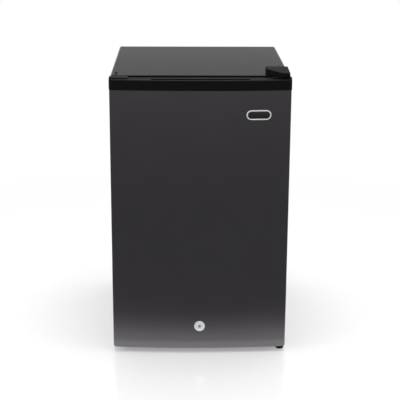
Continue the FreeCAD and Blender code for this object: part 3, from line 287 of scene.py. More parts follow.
def roll_bond_aluminium():
    """Roll-bonded cold plate: pale aluminium with a cloudy etched skin and lines along the rolling."""
    material, tree, main, place = new_finish("roll_bond_aluminium", Metallic=1.0, Roughness=0.38)
    rolled = add(tree, "ShaderNodeMapping", {"Vector": place, "Scale": (0.02, 1, 1)}).outputs[0]
    feed(tree, main, "Base Color", shades(tree, grain(tree, place, 35, 4.0), "#cfd2d4", "#e0e2e3"))
    feed(tree, main, "Roughness", spread(tree, grain(tree, rolled, 0.8, 2.0), 0.3, 0.46))
    press(tree, main, grain(tree, rolled, 0.8, 2.0), 0.02)
    return material


def zinc_plate():
    """Bright zinc plating: bluish, slightly cloudy."""
    material, tree, main, place = new_finish("bright_zinc_plate", Metallic=1.0, Roughness=0.3)
    feed(tree, main, "Base Color", shades(tree, grain(tree, place, 5, 3.0), "#c2c6ca", "#d6d8d6"))
    feed(tree, main, "Roughness", spread(tree, grain(tree, place, 3, 3.0), 0.24, 0.38))
    press(tree, main, grain(tree, place, 1.0), 0.01)
    return material


def acetal():
    """Natural acetal bushings: milky white and waxy."""
    material, tree, main, place = new_finish("natural_acetal", Roughness=0.35, IOR=1.48,
                                             Subsurface_Weight=0.2, Subsurface_Scale=0.003)
    feed(tree, main, "Base Color", shades(tree, grain(tree, place, 6), "#e6e5df", "#efeee9"))
    press(tree, main, grain(tree, place, 1.5), 0.01)
    return material


def soft_chrome():
    """Soft chrome over die-cast zinc: bright and a little milky, with a faint ripple."""
    material, tree, main, place = new_finish("soft_chrome_plate", Metallic=0.68, Roughness=0.39)
    feed(tree, main, "Base Color", shades(tree, grain(tree, place, 4), "#f6f6f7", "#fbfbfb"))
    feed(tree, main, "Roughness", spread(tree, grain(tree, place, 2.5, 3.0), 0.36, 0.42))
    press(tree, main, grain(tree, place, 1.2), 0.006)
    return material


def satin_chrome():
    """Satin chrome on the lock's brass plug: fine-grained, and darker than the rosette."""
    material, tree, main, place = new_finish("satin_chrome", Metallic=1.0, Roughness=0.3)
    feed(tree, main, "Base Color", shades(tree, grain(tree, place, 3), "#c6c6c8", "#d0d0d2"))
    feed(tree, main, "Roughness", spread(tree, grain(tree, place, 1.5, 3.0), 0.3, 0.4))
    press(tree, main, grain(tree, place, 0.6), 0.01)
    return material


def badge_resin():
    """Black enamel under a clear resin dome: deep gloss."""
    material, tree, main, place = new_finish("black_badge_resin", Roughness=0.25, Coat_Weight=1.0,
                                             Coat_Roughness=0.04)
    feed(tree, main, "Base Color", shades(tree, grain(tree, place, 6), "#0a0a0b", "#0f0f10"))
    press(tree, main, grain(tree, place, 20), 0.01)
    return material


def black_enamel():
    """Glossy black enamel sprayed on the compressor's drawn steel pot."""
    material, tree, main, place = new_finish("black_pot_enamel", Roughness=0.28, Coat_Weight=0.5,
                                             Coat_Roughness=0.15)
    feed(tree, main, "Base Color", shades(tree, grain(tree, place, 30, 4.0), "#121214", "#1a1a1c"))
    feed(tree, main, "Roughness", spread(tree, grain(tree, place, 12, 3.0), 0.22, 0.4))
    press(tree, main, grain(tree, place, 2.4, 2.0), 0.05)
    return material


def condenser_black():
    """Dipped black paint on the condenser: semi-matt, a little thicker in places."""
    material, tree, main, place = new_finish("dipped_black_paint", Roughness=0.5)
    feed(tree, main, "Base Color", shades(tree, grain(tree, place, 20, 3.0), "#161617", "#1f1f20"))
    feed(tree, main, "Roughness", spread(tree, grain(tree, place, 6, 3.0), 0.42, 0.6))
    press(tree, main, grain(tree, place, 2.0), 0.04)
    return material


def drawn_copper():
    """Drawn copper pipe, dulled to brown in patches."""
    material, tree, main, place = new_finish("drawn_copper", Metallic=1.0, Roughness=0.32)
    feed(tree, main, "Base Color", shades(tree, grain(tree, place, 18, 4.0), "#a9603f", "#d08a63"))
    feed(tree, main, "Roughness", spread(tree, grain(tree, place, 8, 3.0), 0.24, 0.44))
    press(tree, main, grain(tree, place, 1.5), 0.01)
    return material


def black_rubber():
    """Moulded black rubber: matt, with a dusty bloom."""
    material, tree, main, place = new_finish("black_moulded_rubber", Roughness=0.8, Sheen_Weight=0.15)
    feed(tree, main, "Base Color", shades(tree, grain(tree, place, 8, 4.0), "#151515", "#222221"))
    press(tree, main, grain(tree, place, 0.8, 2.0), 0.05)
    return material


finishes = {
    "black_painted_steel": black_powder_coat(), "charcoal_door_steel": charcoal_door_paint(),
    "galvanised_steel": galvanised_sheet(), "black_abs": black_abs(), "charcoal_painted_abs": sprayed_abs(),
    "white_liner_plastic": white_liner(), "clear_bin_plastic": clear_styrene(),
    "shelf_glass": toughened_glass(), "polyurethane_foam": polyurethane_foam(),
    "grey_gasket_vinyl": grey_vinyl(), "ferrite_strip": ferrite_rubber(),
    "evaporator_aluminium": roll_bond_aluminium(), "zinc_plated_steel": zinc_plate(),
    "acetal": acetal(), "chromed_zinc": soft_chrome(), "satin_chromed_brass": satin_chrome(),
    "badge_enamel": badge_resin(), "black_enamelled_steel": black_enamel(),
    "condenser_paint": condenser_black(), "copper": drawn_copper(), "black_rubber": black_rubber(),
}


# ---------------------------------------------------------------- mesh helpers

def link(name, mesh):
    thing = bpy.data.objects.new(name, mesh)
    bpy.context.scene.collection.objects.link(thing)
    return thing


def plain(thing):
    """Bake an object's modifiers into its mesh."""
    graph = bpy.context.evaluated_depsgraph_get()
    made = bpy.data.meshes.new_from_object(thing.evaluated_get(graph), preserve_all_data_layers=True,
                                           depsgraph=graph)
    thing.modifiers.clear()
    thing.data = made
    return thing


def shade(thing, angle=40):
    """Smooth shading, broken at edges sharper than the angle."""
    thing.data.shade_smooth()
    thing.data.set_sharp_from_angle(angle=math.radians(angle))
    return thing


def ease(thing, width):
    """Round a piece's edges by a small radius and keep its flats flat."""
    bevel = thing.modifiers.new("ease", "BEVEL")
    bevel.width = width * MM
    bevel.segments = 2
    bevel.limit_method = "ANGLE"
    bevel.angle_limit = math.radians(32)
    thing.modifiers.new("flats", "WEIGHTED_NORMAL").keep_sharp = True
    shade(thing, 60)
    return plain(thing)


def dress(piece, node, *more):
    """The piece stands for its CAD nodes, moves with their body and takes their finish."""
    piece.data.materials.clear()
    piece.data.materials.append(finishes[slot_of[node]])
    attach(piece, body_of[node])
    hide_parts(node, *more)
    return piece


def merged_copy(node, name):
    """Copy of a CAD piece with its triangles joined into faces."""
    source = cad[node].data
    mesh = bpy.data.meshes.new(name)
    mesh.from_pydata([v.co[:] for v in source.vertices], [], [p.vertices[:] for p in source.polygons])
    work = bmesh.new()
    work.from_mesh(mesh)
    bmesh.ops.remove_doubles(work, verts=work.verts, dist=0.002 * MM)
    bmesh.ops.dissolve_limit(work, angle_limit=math.radians(0.2), verts=work.verts, edges=work.edges)
    work.to_mesh(mesh)
    work.free()
    return link(name, mesh)


def solid(name, points, faces):
    """Mesh object with its doubles merged and its faces outwards."""
    mesh = bpy.data.meshes.new(name)
    mesh.from_pydata(points, [], faces)
    work = bmesh.new()
    work.from_mesh(mesh)
    bmesh.ops.remove_doubles(work, verts=work.verts, dist=0.002 * MM)
    bmesh.ops.recalc_face_normals(work, faces=work.faces)
    work.to_mesh(mesh)
    work.free()
    return link(name, mesh)


def rings(name, loops, closed):
    """Skin joining loops of the same number of points; closed joins the last loop to the first."""
    count = len(loops[0])
    points = [point for loop in loops for point in loop]
    faces = []
    for row in range(len(loops) - (0 if closed else 1)):
        after = (row + 1) % len(loops)
        for k in range(count):
            nxt = (k + 1) % count
            faces.append((row * count + k, row * count + nxt, after * count + nxt, after * count + k))
    if not closed:
        faces.append(tuple(range(count)))
        faces.append(tuple((len(loops) - 1) * count + k for k in range(count)))
    return solid(name, points, faces)


def turned(name, profile, centre, steps=64):
    """Ring turned about the Y axis through a centre, from a closed profile of (radius, y)."""
    loops = []
    for k in range(steps):
        turn = 2 * math.pi * k / steps
        loops.append([(centre.x + r * math.cos(turn), y, centre.z + r * math.sin(turn)) for r, y in profile])
    return rings(name, loops, True)


def cut(piece, tool):
    """Take the tool's space out of a piece."""
    hole = piece.modifiers.new("hole", "BOOLEAN")
    hole.object = tool
    hole.operation = "DIFFERENCE"
    hole.solver = "EXACT"
    plain(piece)
    bpy.data.objects.remove(tool)
    return piece


def islands(node):
    """The separate solids of a CAD node, each as a list of points."""
    thing = merged_copy(node, node + "_islands")
    work = bmesh.new()
    work.from_mesh(thing.data)
    left = set(work.verts)
    found = []
    while left:
        edge = [left.pop()]
        group = list(edge)
        while edge:
            vert = edge.pop()
            for link_edge in vert.link_edges:
                other = link_edge.other_vert(vert)
                if other in left:
                    left.remove(other)
                    edge.append(other)
                    group.append(other)
        found.append([v.co.copy() for v in group])
    work.free()
    bpy.data.objects.remove(thing)
    return sorted(found, key=lambda group: tuple(round(c, 4) for c in group_centre(group)))


def group_centre(group):
    low = Vector([min(p[k] for p in group) for k in range(3)])
    high = Vector([max(p[k] for p in group) for k in range(3)])
    return (low + high) / 2


# ---------------------------------------------------------------- geometry node trees

def new_tree(name, inputs):
    """Geometry tree with named inputs. Returns the tree and its input node."""
    tree = bpy.data.node_groups.new(name, "GeometryNodeTree")
    tree.interface.new_socket("Geometry", in_out="OUTPUT", socket_type="NodeSocketGeometry")
    tree.interface.new_socket("Geometry", in_out="INPUT", socket_type="NodeSocketGeometry")
    for label, kind in inputs.items():
        tree.interface.new_socket(label, in_out="INPUT", socket_type="NodeSocket" + kind)
    return tree, tree.nodes.new("NodeGroupInput")


def end_tree(tree, geometry, finish):
    """Realise the instances, set the finish and hand the result out."""
    real = add(tree, "GeometryNodeRealizeInstances", {"Geometry": geometry})
    smooth = add(tree, "GeometryNodeSetShadeSmooth", {"Geometry": real.outputs[0]})
    made = add(tree, "GeometryNodeSetMaterial", {"Geometry": smooth.outputs[0], "Material": finish})
    add(tree, "NodeGroupOutput", {"Geometry": made.outputs[0]})


def grown(name, tree, points, edges, values):
    """Run a tree on a mesh of points and edges, and keep the result as a plain mesh."""
    seed = bpy.data.meshes.new(name)
    seed.from_pydata(points, edges, [])
    thing = link(name, seed)
    make = thing.modifiers.new("make", "NODES")
    make.node_group = tree
    for item in tree.interface.items_tree:
        if item.in_out == "INPUT" and item.name in values:
            make[item.identifier] = values[item.name]
    return shade(plain(thing))


def pipe_tree():
    """Round pipe along a path, with its corners bent to one radius."""
    tree, given = new_tree("bent_pipe", {"Pipe radius": "Float", "Bend radius": "Float",
                                         "Sides": "Int", "Finish": "Material"})
    path = add(tree, "GeometryNodeMeshToCurve", {"Mesh": given.outputs["Geometry"]})
    bent = add(tree, "GeometryNodeFilletCurve", {"Curve": path.outputs[0], "Count": 8,
                                                 "Radius": given.outputs["Bend radius"]}, mode="POLY")
    round_wire = add(tree, "GeometryNodeCurvePrimitiveCircle", {"Resolution": given.outputs["Sides"],
                                                                "Radius": given.outputs["Pipe radius"]})
    skin = add(tree, "GeometryNodeCurveToMesh", {"Curve": bent.outputs[0], "Fill Caps": True,
                                                 "Profile Curve": round_wire.outputs[0]})
    end_tree(tree, skin.outputs[0], given.outputs["Finish"])
    return tree


def grille_tree():
    """Upright wires on both sides of the condenser's runs, with a weld bead at each crossing."""
    tree, given = new_tree("condenser_grille", {
        "Wires": "Int", "Wire pitch": "Float", "Wire radius": "Float", "Wire length": "Float",
        "Runs": "Int", "Run pitch": "Float", "First run": "Float", "Half gap": "Float",
        "Finish": "Material"})
    out = given.outputs
    parts = []
    for side in (-1, 1):
        away = add(tree, "ShaderNodeMath", {0: out["Half gap"], 1: side}, operation="MULTIPLY")
        start = add(tree, "ShaderNodeCombineXYZ", {"Y": away.outputs[0]})
        step = add(tree, "ShaderNodeCombineXYZ", {"X": out["Wire pitch"]})
        row = add(tree, "GeometryNodeMeshLine", {"Count": out["Wires"], "Start Location": start.outputs[0],
                                                 "Offset": step.outputs[0]})
        wire = add(tree, "GeometryNodeMeshCylinder", {"Vertices": 10, "Radius": out["Wire radius"],
                                                      "Depth": out["Wire length"]})
        half_length = add(tree, "ShaderNodeMath", {0: out["Wire length"], 1: 0.5}, operation="MULTIPLY")
        lift = add(tree, "ShaderNodeCombineXYZ", {"Z": half_length.outputs[0]})
        raised = add(tree, "GeometryNodeTransform", {"Geometry": wire.outputs[0],
                                                     "Translation": lift.outputs[0]})
        parts.append(add(tree, "GeometryNodeInstanceOnPoints", {"Points": row.outputs[0],
                                                                "Instance": raised.outputs[0]}).outputs[0])
        bead_size = add(tree, "ShaderNodeMath", {0: out["Wire radius"], 1: 1.25}, operation="MULTIPLY")
        bead = add(tree, "GeometryNodeMeshIcoSphere", {"Radius": bead_size.outputs[0], "Subdivisions": 2})
        inward = add(tree, "ShaderNodeMath", {0: out["Wire radius"], 1: -0.45 * side},
                     operation="MULTIPLY")
        rise = add(tree, "ShaderNodeCombineXYZ", {"Z": out["Run pitch"]})
        first = add(tree, "ShaderNodeCombineXYZ", {"Y": inward.outputs[0], "Z": out["First run"]})
        column = add(tree, "GeometryNodeMeshLine", {"Count": out["Runs"], "Start Location": first.outputs[0],
                                                    "Offset": rise.outputs[0]})
        beads = add(tree, "GeometryNodeInstanceOnPoints", {"Points": column.outputs[0],
                                                           "Instance": bead.outputs[0]})
        parts.append(add(tree, "GeometryNodeInstanceOnPoints", {"Points": row.outputs[0],
                                                                "Instance": beads.outputs[0]}).outputs[0])
    both = add(tree, "GeometryNodeJoinGeometry")
    for part in reversed(parts):
        tree.links.new(part, both.inputs[0])
    shifted = add(tree, "GeometryNodeInstanceOnPoints", {"Points": given.outputs["Geometry"],
                                                         "Instance": both.outputs[0]})
    end_tree(tree, shifted.outputs[0], out["Finish"])
    return tree


def seated_tree():
    """One shape set on every point, turned so that its +Z follows the point's own heading."""
    tree, given = new_tree("seated_shapes", {"Shape": "Object", "Finish": "Material"})
    heading = add(tree, "GeometryNodeInputNamedAttribute", {"Name": "heading"}, data_type="FLOAT_VECTOR")
    turn = add(tree, "FunctionNodeAlignRotationToVector", {"Vector": heading.outputs[0]}, axis="Z")
    shape = add(tree, "GeometryNodeObjectInfo", {"Object": given.outputs["Shape"]})
    seated = add(tree, "GeometryNodeInstanceOnPoints", {
        "Points": given.outputs["Geometry"], "Instance": shape.outputs["Geometry"],
        "Rotation": turn.outputs[0]})
    end_tree(tree, seated.outputs[0], given.outputs["Finish"])
    return tree


def dial_tree():
    """Marks round a dial that grow from the first to the last, standing on a face that looks along -X."""
    tree, given = new_tree("dial_marks", {"Marks": "Int", "Dial radius": "Float", "Sweep": "Float",
                                          "Mark length": "Float", "Finish": "Material"})
    out = given.outputs
    arc = add(tree, "GeometryNodeCurveArc", {"Resolution": out["Marks"], "Radius": out["Dial radius"],
                                             "Start Angle": math.radians(-60),
                                             "Sweep Angle": out["Sweep"]})
    points = add(tree, "GeometryNodeCurveToPoints", {"Curve": arc.outputs[0]}, mode="EVALUATED")
    bar = add(tree, "GeometryNodeMeshCube", {"Size": (1, 0.35, 0.35)})
    index = add(tree, "GeometryNodeInputIndex")
    grow = add(tree, "ShaderNodeMapRange", {"Value": index.outputs[0], "From Max": out["Marks"],
                                            "To Min": 0.5, "To Max": 1.0})
    length = add(tree, "ShaderNodeMath", {0: grow.outputs[0], 1: out["Mark length"]},
                 operation="MULTIPLY")
    size = add(tree, "ShaderNodeCombineXYZ", {"X": length.outputs[0], "Y": 2 * MM, "Z": 1 * MM})
    place = add(tree, "GeometryNodeInputPosition")
    turn = add(tree, "FunctionNodeAlignRotationToVector", {"Vector": place.outputs[0]}, axis="X")
    marks = add(tree, "GeometryNodeInstanceOnPoints", {
        "Points": points.outputs[0], "Instance": bar.outputs[0], "Rotation": turn.outputs[0],
        "Scale": size.outputs[0]})
    upright = add(tree, "GeometryNodeTransform", {"Geometry": marks.outputs[0],
                                                  "Rotation": (0, math.radians(-90), 0)})
    moved = add(tree, "GeometryNodeInstanceOnPoints", {"Points": out["Geometry"],
                                                       "Instance": upright.outputs[0]})
    end_tree(tree, moved.outputs[0], out["Finish"])
    return tree


# ---------------------------------------------------------------- door

skin_low, skin_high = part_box("door_skin")
half_door = skin_high.x
bow_radius = (half_door ** 2 + door_bow ** 2) / (2 * door_bow)
bow_centre = skin_low.y + bow_radius


def face_y(x):
    """Door face at a distance from its middle."""
    return bow_centre - math.sqrt(bow_radius ** 2 - x ** 2)


def door_outline(inset):
    """Front of the door's plan drawn in by inset, from the left side round the bow to the right."""
    corner_x = half_door - door_corner
    corner_y = bow_centre - math.sqrt((bow_radius - door_corner) ** 2 - corner_x ** 2)
    tangent = math.asin(corner_x / (bow_radius - door_corner))
    radius = door_corner - inset
    left = [(-corner_x - radius * math.cos(a), corner_y - radius * math.sin(a))
            for a in (k / 10 * (math.pi / 2 - tangent) for k in range(11))]
    bow = [((bow_radius - inset) * math.sin(a), bow_centre - (bow_radius - inset) * math.cos(a))
           for a in (tangent * k / 24 for k in range(-23, 24))]
    right = [(-x, y) for x, y in reversed(left)]
    return left + bow + right


def upright(name, outline, low, high):
    """Upright prism over a closed plan outline."""
    return rings(name, [[(x, y, z) for x, y in outline] for z in (low, high)], False)


def make_door_panel():
    """Bowed steel skin with a hem turned in round its back."""
    rear = skin_high.y
    inner = half_door - door_sheet
    tip = half_door - door_hem
    front = [(-tip, rear), (-half_door, rear)] + door_outline(0) + [(half_door, rear), (tip, rear)]
    back = [(tip, rear - door_sheet), (inner, rear - door_sheet)] + list(reversed(door_outline(door_sheet)))
    back += [(-inner, rear - door_sheet), (-tip, rear - door_sheet)]
    panel = upright("door_panel", front + back, skin_low.z, skin_high.z)
    lock = group_centre([Vector(c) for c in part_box("lock_barrel")])
    bore = turned("bore", [(0.01 * MM, -0.5), (lock_bore, -0.5), (lock_bore, 0), (0.01 * MM, 0)], lock)
    cut(panel, bore)
    dress(ease(panel, 0.3), "door_skin")


def make_gasket():
    """Magnetic seal: a flat base, a bellows and a closed pocket round the magnet, mitred at the corners."""
    low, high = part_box("door_gasket")
    strip_low, strip_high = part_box("gasket_magnets")
    depth = high.y - low.y
    width = 18 * MM
    pocket = (strip_low.x - low.x) / width
    outside = [(0, 0), (0, 0.16), (0.14, 0.22), (0.22, 0.32), (0.1, 0.44), (0.1, 0.52), (pocket - 0.1, 0.6),
               (pocket - 0.16, 0.7), (pocket - 0.16, 0.94), (pocket - 0.1, 1.0)]
    outside += [(1 - u, v) for u, v in reversed(outside)]
    gap = 0.1 * MM
    inside = [(strip_low.x - low.x - gap, strip_low.y - gap - low.y),
              (strip_low.x - low.x - gap, strip_high.y + gap - low.y),
              (width - strip_low.x + low.x + gap, strip_high.y + gap - low.y),
              (width - strip_low.x + low.x + gap, strip_low.y - gap - low.y)]
    loops = []
    for points in ([(u * width, v * depth) for u, v in outside], inside):
        loops.append([[(side * (high.x - u), low.y + v, (low.z + u) if bottom else (high.z - u))
                       for u, v in points] for side, bottom in ((-1, 1), (1, 1), (1, 0), (-1, 0))])
    seal = rings("door_seal", loops[0], True)
    hollow = rings("hollow", loops[1], True)
    hollow.data.flip_normals()
    work = bmesh.new()
    work.from_mesh(seal.data)
    work.from_mesh(hollow.data)
    work.to_mesh(seal.data)
    work.free()
    bpy.data.objects.remove(hollow)
    shade(seal, 35)
    dress(seal, "door_gasket")


def make_lock_barrel():
    """Turned lock housing: a rosette with a dished ring on a threaded barrel."""
    low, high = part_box("lock_barrel")
    centre = group_centre([low, high])
    rim = (high.x - low.x) / 2
    face = low.y
    seat = face + 3 * MM
    profile = [(rim, seat), (rim, face + 1.6 * MM)]
    profile += [(rim - 1.4 * MM + 1.4 * MM * math.cos(a), face + 1.4 * MM - 1.4 * MM * math.sin(a))
                for a in (math.radians(15 * k) for k in range(1, 7))]
    dish = [(3.6, 0.05), (4.2, 0.9), (6.4, 0.9), (6.9, 0.1), (7.6, 0.0), (8.4, 0.25), (9.4, 0.3)]
    profile += [(rim - inward * MM, face + deep * MM) for inward, deep in dish]
    profile += [(plug_bore + 0.5 * MM, face + 0.3 * MM), (plug_bore, face + 0.8 * MM), (plug_bore, high.y)]
    threads = int((high.y - seat - 4 * MM) / thread_pitch)
    profile.append((barrel_radius - thread_depth, high.y))
    for k in reversed(range(threads)):
        start = seat + 3 * MM + k * thread_pitch
        profile.append((barrel_radius - thread_depth, start + thread_pitch))
        profile.append((barrel_radius, start + 0.6 * thread_pitch))
        profile.append((barrel_radius, start + 0.4 * thread_pitch))
    profile += [(barrel_radius - thread_depth, seat + 3 * MM), (barrel_radius, seat + 2.6 * MM),
                (barrel_radius, seat)]
    barrel = turned("lock_rosette", profile, centre, 72)
    shade(barrel, 32)
    dress(barrel, "lock_barrel")


def pill(straight, radius):
    """Outline of a long shape with round ends, counter-clockwise in x and z."""
    steps = 12
    ends = []
    for side in (1, -1):
        for k in range(steps + 1):
            turn = math.pi * k / steps - math.pi / 2
            ends.append((side * (straight + radius * math.cos(turn)), side * radius * math.sin(turn)))
    return ends


def make_badge():
    """Bright bead round a blank domed field, seated square on the bowed face."""
    low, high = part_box("badge_rim")
    middle = (low + high) / 2
    radius = (high.z - low.z) / 2
    slope = math.asin(middle.x / bow_radius)
    straight = (high.x - low.x) / 2 / math.cos(slope) - radius
    seat = Matrix.Translation(Vector((middle.x, face_y(middle.x), middle.z))) @ Matrix.Rotation(slope, 4, "Z")
    proud = 1.75 * MM
    bead = [(0.0, 0.0)] + [(badge_rim_width * (0.5 - 0.5 * math.cos(a)), proud * math.sin(a) ** 0.7)
                           for a in (math.pi * k / 10 for k in range(1, 10))] + [(badge_rim_width, 0.0)]
    loops = [[(x, -out, z) for x, z in pill(straight, radius - inward)] for inward, out in bead]
    rim = rings("badge_bead", loops, True)
    rim.data.transform(seat)
    shade(rim, 50)
    dress(rim, "badge_rim")
    edge = radius - badge_rim_width - badge_slot * 0.2
    dome = [(edge, 0.2), (edge, 1.0)] + [(edge * math.cos(a), 1.0 + 0.45 * math.sin(a))
                                         for a in (math.pi / 2 * k / 8 for k in range(1, 9))]
    loops = [[(x, -out * MM, z) for x, z in pill(straight, max(reach, 0))] for reach, out in dome]
    field = rings("badge_field_dome", loops, False)
    field.data.transform(seat)
    shade(field, 50)
    dress(field, "badge_field")


# ---------------------------------------------------------------- screws, condenser, dial

def make_pan_head():
    """Pan-head machine screw, its seat at the origin and its head towards +Z, with a cross recess."""
    head, shank, tall = 4.6, 2.5, 2.6
    side = [(0.0, tall), (head * 0.45, tall), (head * 0.72, tall * 0.92), (head * 0.93, tall * 0.66),
            (head, tall * 0.36), (head, 0.0), (shank, 0.0)]
    for k in range(10):
        side += [(shank, -0.4 - 1.3 * k), (shank - 0.35, -1.05 - 1.3 * k)]
    side += [(shank - 0.6, -13.9), (0.0, -13.9)]
    loops = [[(r * MM * math.cos(t), r * MM * math.sin(t), z * MM) for r, z in side]
             for t in (2 * math.pi * k / 24 for k in range(24))]
    points = [point for loop in loops for point in loop]
    count = len(side)
    faces = []
    for row in range(24):
        after = (row + 1) % 24
        faces += [(row * count + k, row * count + k + 1, after * count + k + 1, after * count + k)
                  for k in range(count - 1)]
    screw = solid("pan_head", points, faces)
    for long_side in (0, 1):
        across = (2.6, 0.45) if long_side else (0.45, 2.6)
        plan = [(-across[0], -across[1]), (across[0], -across[1]), (across[0], across[1]),
                (-across[0], across[1])]
        wedge = rings("recess", [[(x * s * MM, y * s * MM, z * MM) for x, y in plan]
                                 for s, z in ((0.45, 1.0), (1.0, 3.2))], False)
        cut(screw, wedge)
    return screw


def make_screws():
    """Every pan-head screw, on the seats that the CAD screws stand on."""
    seats = []
    headings = []
    for group in islands("pan_head_screws"):
        low = Vector([min(p[k] for p in group) for k in range(3)])
        high = Vector([max(p[k] for p in group) for k in range(3)])
        spans = high - low
        axis = max(range(3), key=lambda k: spans[k])
        middle = (low + high) / 2
        wide = [p[axis] for p in group if (Vector(p) - middle - unit(axis, p[axis] - middle[axis])).length
                > 4.4 * MM]
        towards = 1 if sum(wide) / len(wide) > middle[axis] else -1
        top = high[axis] if towards > 0 else low[axis]
        seat = middle.copy()
        seat[axis] = top - towards * 2.6 * MM
        seats.append(seat[:])
        headings.append(unit(axis, towards)[:])
    head = make_pan_head()
    seed = bpy.data.meshes.new("machine_screws")
    seed.from_pydata(seats, [], [])
    heading = seed.attributes.new("heading", "FLOAT_VECTOR", "POINT")
    heading.data.foreach_set("vector", [c for one in headings for c in one])
    screws = link("machine_screws", seed)
    make = screws.modifiers.new("make", "NODES")
    make.node_group = seated_tree()
    given = {"Shape": head, "Finish": finishes["zinc_plated_steel"]}
    for item in make.node_group.interface.items_tree:
        if item.in_out == "INPUT" and item.name in given:
            make[item.identifier] = given[item.name]
    shade(plain(screws), 35)
    bpy.data.objects.remove(head)
    dress(screws, "pan_head_screws")


def unit(axis, length):
    """Vector along one axis."""
    return Vector([length if k == axis else 0.0 for k in range(3)])


def make_condenser():
    """Serpentine tube with its grille of wires."""
    low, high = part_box("condenser_tube")
    radius = (high.y - low.y) / 2
    y = (low.y + high.y) / 2
    first = low.z + radius
    pitch = (high.z - radius - first) / (condenser_runs - 1)
    left, right = low.x, high.x
    points = []
    for row in range(condenser_runs):
        ends = (left + radius, right - radius) if row % 2 == 0 else (right - radius, left + radius)
        points += [(x, y, first + row * pitch) for x in ends]
    points[0] = (left, y, first)
    points[-1] = (right - pitch / 2, y, points[-1][2])
    edges = [(k, k + 1) for k in range(len(points) - 1)]
    tube = grown("condenser_serpentine", pipe_tree(), points, edges, {
        "Pipe radius": radius, "Bend radius": pitch / 2 * 0.98, "Sides": 14,
        "Finish": finishes["condenser_paint"]})
    dress(tube, "condenser_tube")
    wires_low, wires_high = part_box("condenser_wires")
    across = wires_high.x - wires_low.x - 2 * wire_radius
    length = wires_high.z - wires_low.z
    grille = grown("condenser_grille", grille_tree(), [(wires_low.x + wire_radius, y, wires_low.z)], [], {
        "Wires": condenser_wires, "Wire pitch": across / (condenser_wires - 1), "Wire radius": wire_radius,
        "Wire length": length, "Runs": condenser_runs, "Run pitch": pitch,
        "First run": first - wires_low.z, "Half gap": radius + wire_radius,
        "Finish": finishes["condenser_paint"]})
    dress(grille, "condenser_wires")


def make_dial_marks():
    """Raised marks round the thermostat's knob, from warm to cold."""
    knob_low, knob_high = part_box("thermostat_knob")
    case_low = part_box("thermostat_case")[0]
    centre = (knob_low + knob_high) / 2
    face = case_low.x - 0.1 * MM
    marks = grown("dial_marks", dial_tree(), [(face, centre.y, centre.z)], [], {
        "Marks": dial_mark_count, "Dial radius": (knob_high.z - knob_low.z) / 2 + dial_mark_gap,
        "Sweep": dial_sweep, "Mark length": dial_mark_length, "Finish": finishes["black_abs"]})
    marks.data.materials.clear()
    marks.data.materials.append(finishes["black_abs"])
    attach(marks, "cabinet")


# ---------------------------------------------------------------- eased CAD pieces

eased_edges = {      # width of the round on each piece's edges, in millimetres
    "door_top_cap": 0.6, "door_bottom_cap": 0.9, "hinge_cover": 0.5, "inner_liner": 0.9,
    "glass_shelves": 0.7, "shelf_front_trims": 0.4, "shelf_rear_stops": 0.5, "evaporator_plate": 0.4,
    "drain_trough": 0.5, "thermostat_case": 0.4, "thermostat_knob": 0.4, "upper_hinge": 0.4,
    "lower_hinge": 0.4, "lock_keeper": 0.3, "relay_cover": 1.2, "compressor_mount": 0.4,
    "evaporation_tray": 0.4, "condenser_clips": 0.4, "door_inner_panel": 1.0, "bottle_bin": 0.6,
    "middle_bin": 0.6, "upper_bin": 0.6, "left_foot": 0.4, "right_foot": 0.4, "rear_feet": 1.0,
    "lock_plug": 0.25, "lock_cam": 0.3, "lock_nut": 0.3, "lock_cam_screw": 0.2,
    "compressor_grommets": 0.5, "compressor_bolts": 0.3, "compressor": 0.5, "filter_drier": 0.4,
    "cabinet_shell": 0.2, "hole_plugs": 0.2, "cap_plug": 0.15, "compressor_base": 0.3,
    "cord_gland": 0.4, "back_panel": 0.2, "niche_panel": 0.2, "base_pan": 0.2, "front_rail": 0.3,
    "upper_bushing": 0.2, "lower_bushing": 0.15, "copper_pipes": 0.2, "drain_tube": 0.2,
}


def make_eased():
    for node, width in eased_edges.items():
        dress(ease(merged_copy(node, "eased_" + node), width), node)


def dress_the_rest():
    """CAD pieces that keep their own meshes, inside the walls."""
    for node, thing in cad.items():
        if not thing.hide_render:
            thing.data.materials.clear()
            thing.data.materials.append(finishes[slot_of[node]])


make_door_panel()
make_gasket()
make_lock_barrel()
make_badge()
make_screws()
make_condenser()
make_dial_marks()
make_eased()
dress_the_rest()


# ---------------------------------------------------------------- room

def studio_floor():
    """Opal acrylic floor, polished and lit a little from below, that fades into the white room."""
    material, tree, main, place = new_finish("studio_floor", Base_Color=(0.8, 0.8, 0.8, 1),
                                             Roughness=0.1, Specular_IOR_Level=1.0,
                                             Emission_Color=(1, 1, 1, 1), Emission_Strength=0.28)
    away = add(tree, "ShaderNodeVectorMath", {0: place}, operation="LENGTH").outputs["Value"]
    far = add(tree, "ShaderNodeMapRange", {"Value": away, "From Min": floor_fade[0],
                                                   "From Max": floor_fade[1]},
              interpolation_type="SMOOTHSTEP").outputs[0]
    glow = add(tree, "ShaderNodeEmission", {"Color": (1, 1, 1, 1)})
    mix = add(tree, "ShaderNodeMixShader", {0: far, 1: main.outputs[0], 2: glow.outputs[0]})
    tree.links.new(mix.outputs[0], tree.nodes["Material Output"].inputs["Surface"])
    return material


square_corners = [(-1, -1), (1, -1), (1, 1), (-1, 1)]


def make_floor():
    mesh = bpy.data.meshes.new("floor")
    mesh.from_pydata([(x * room_half, y * room_half, 0) for x, y in square_corners], [], [(0, 1, 2, 3)])
    floor = link("floor", mesh)
    mesh.materials.append(studio_floor())


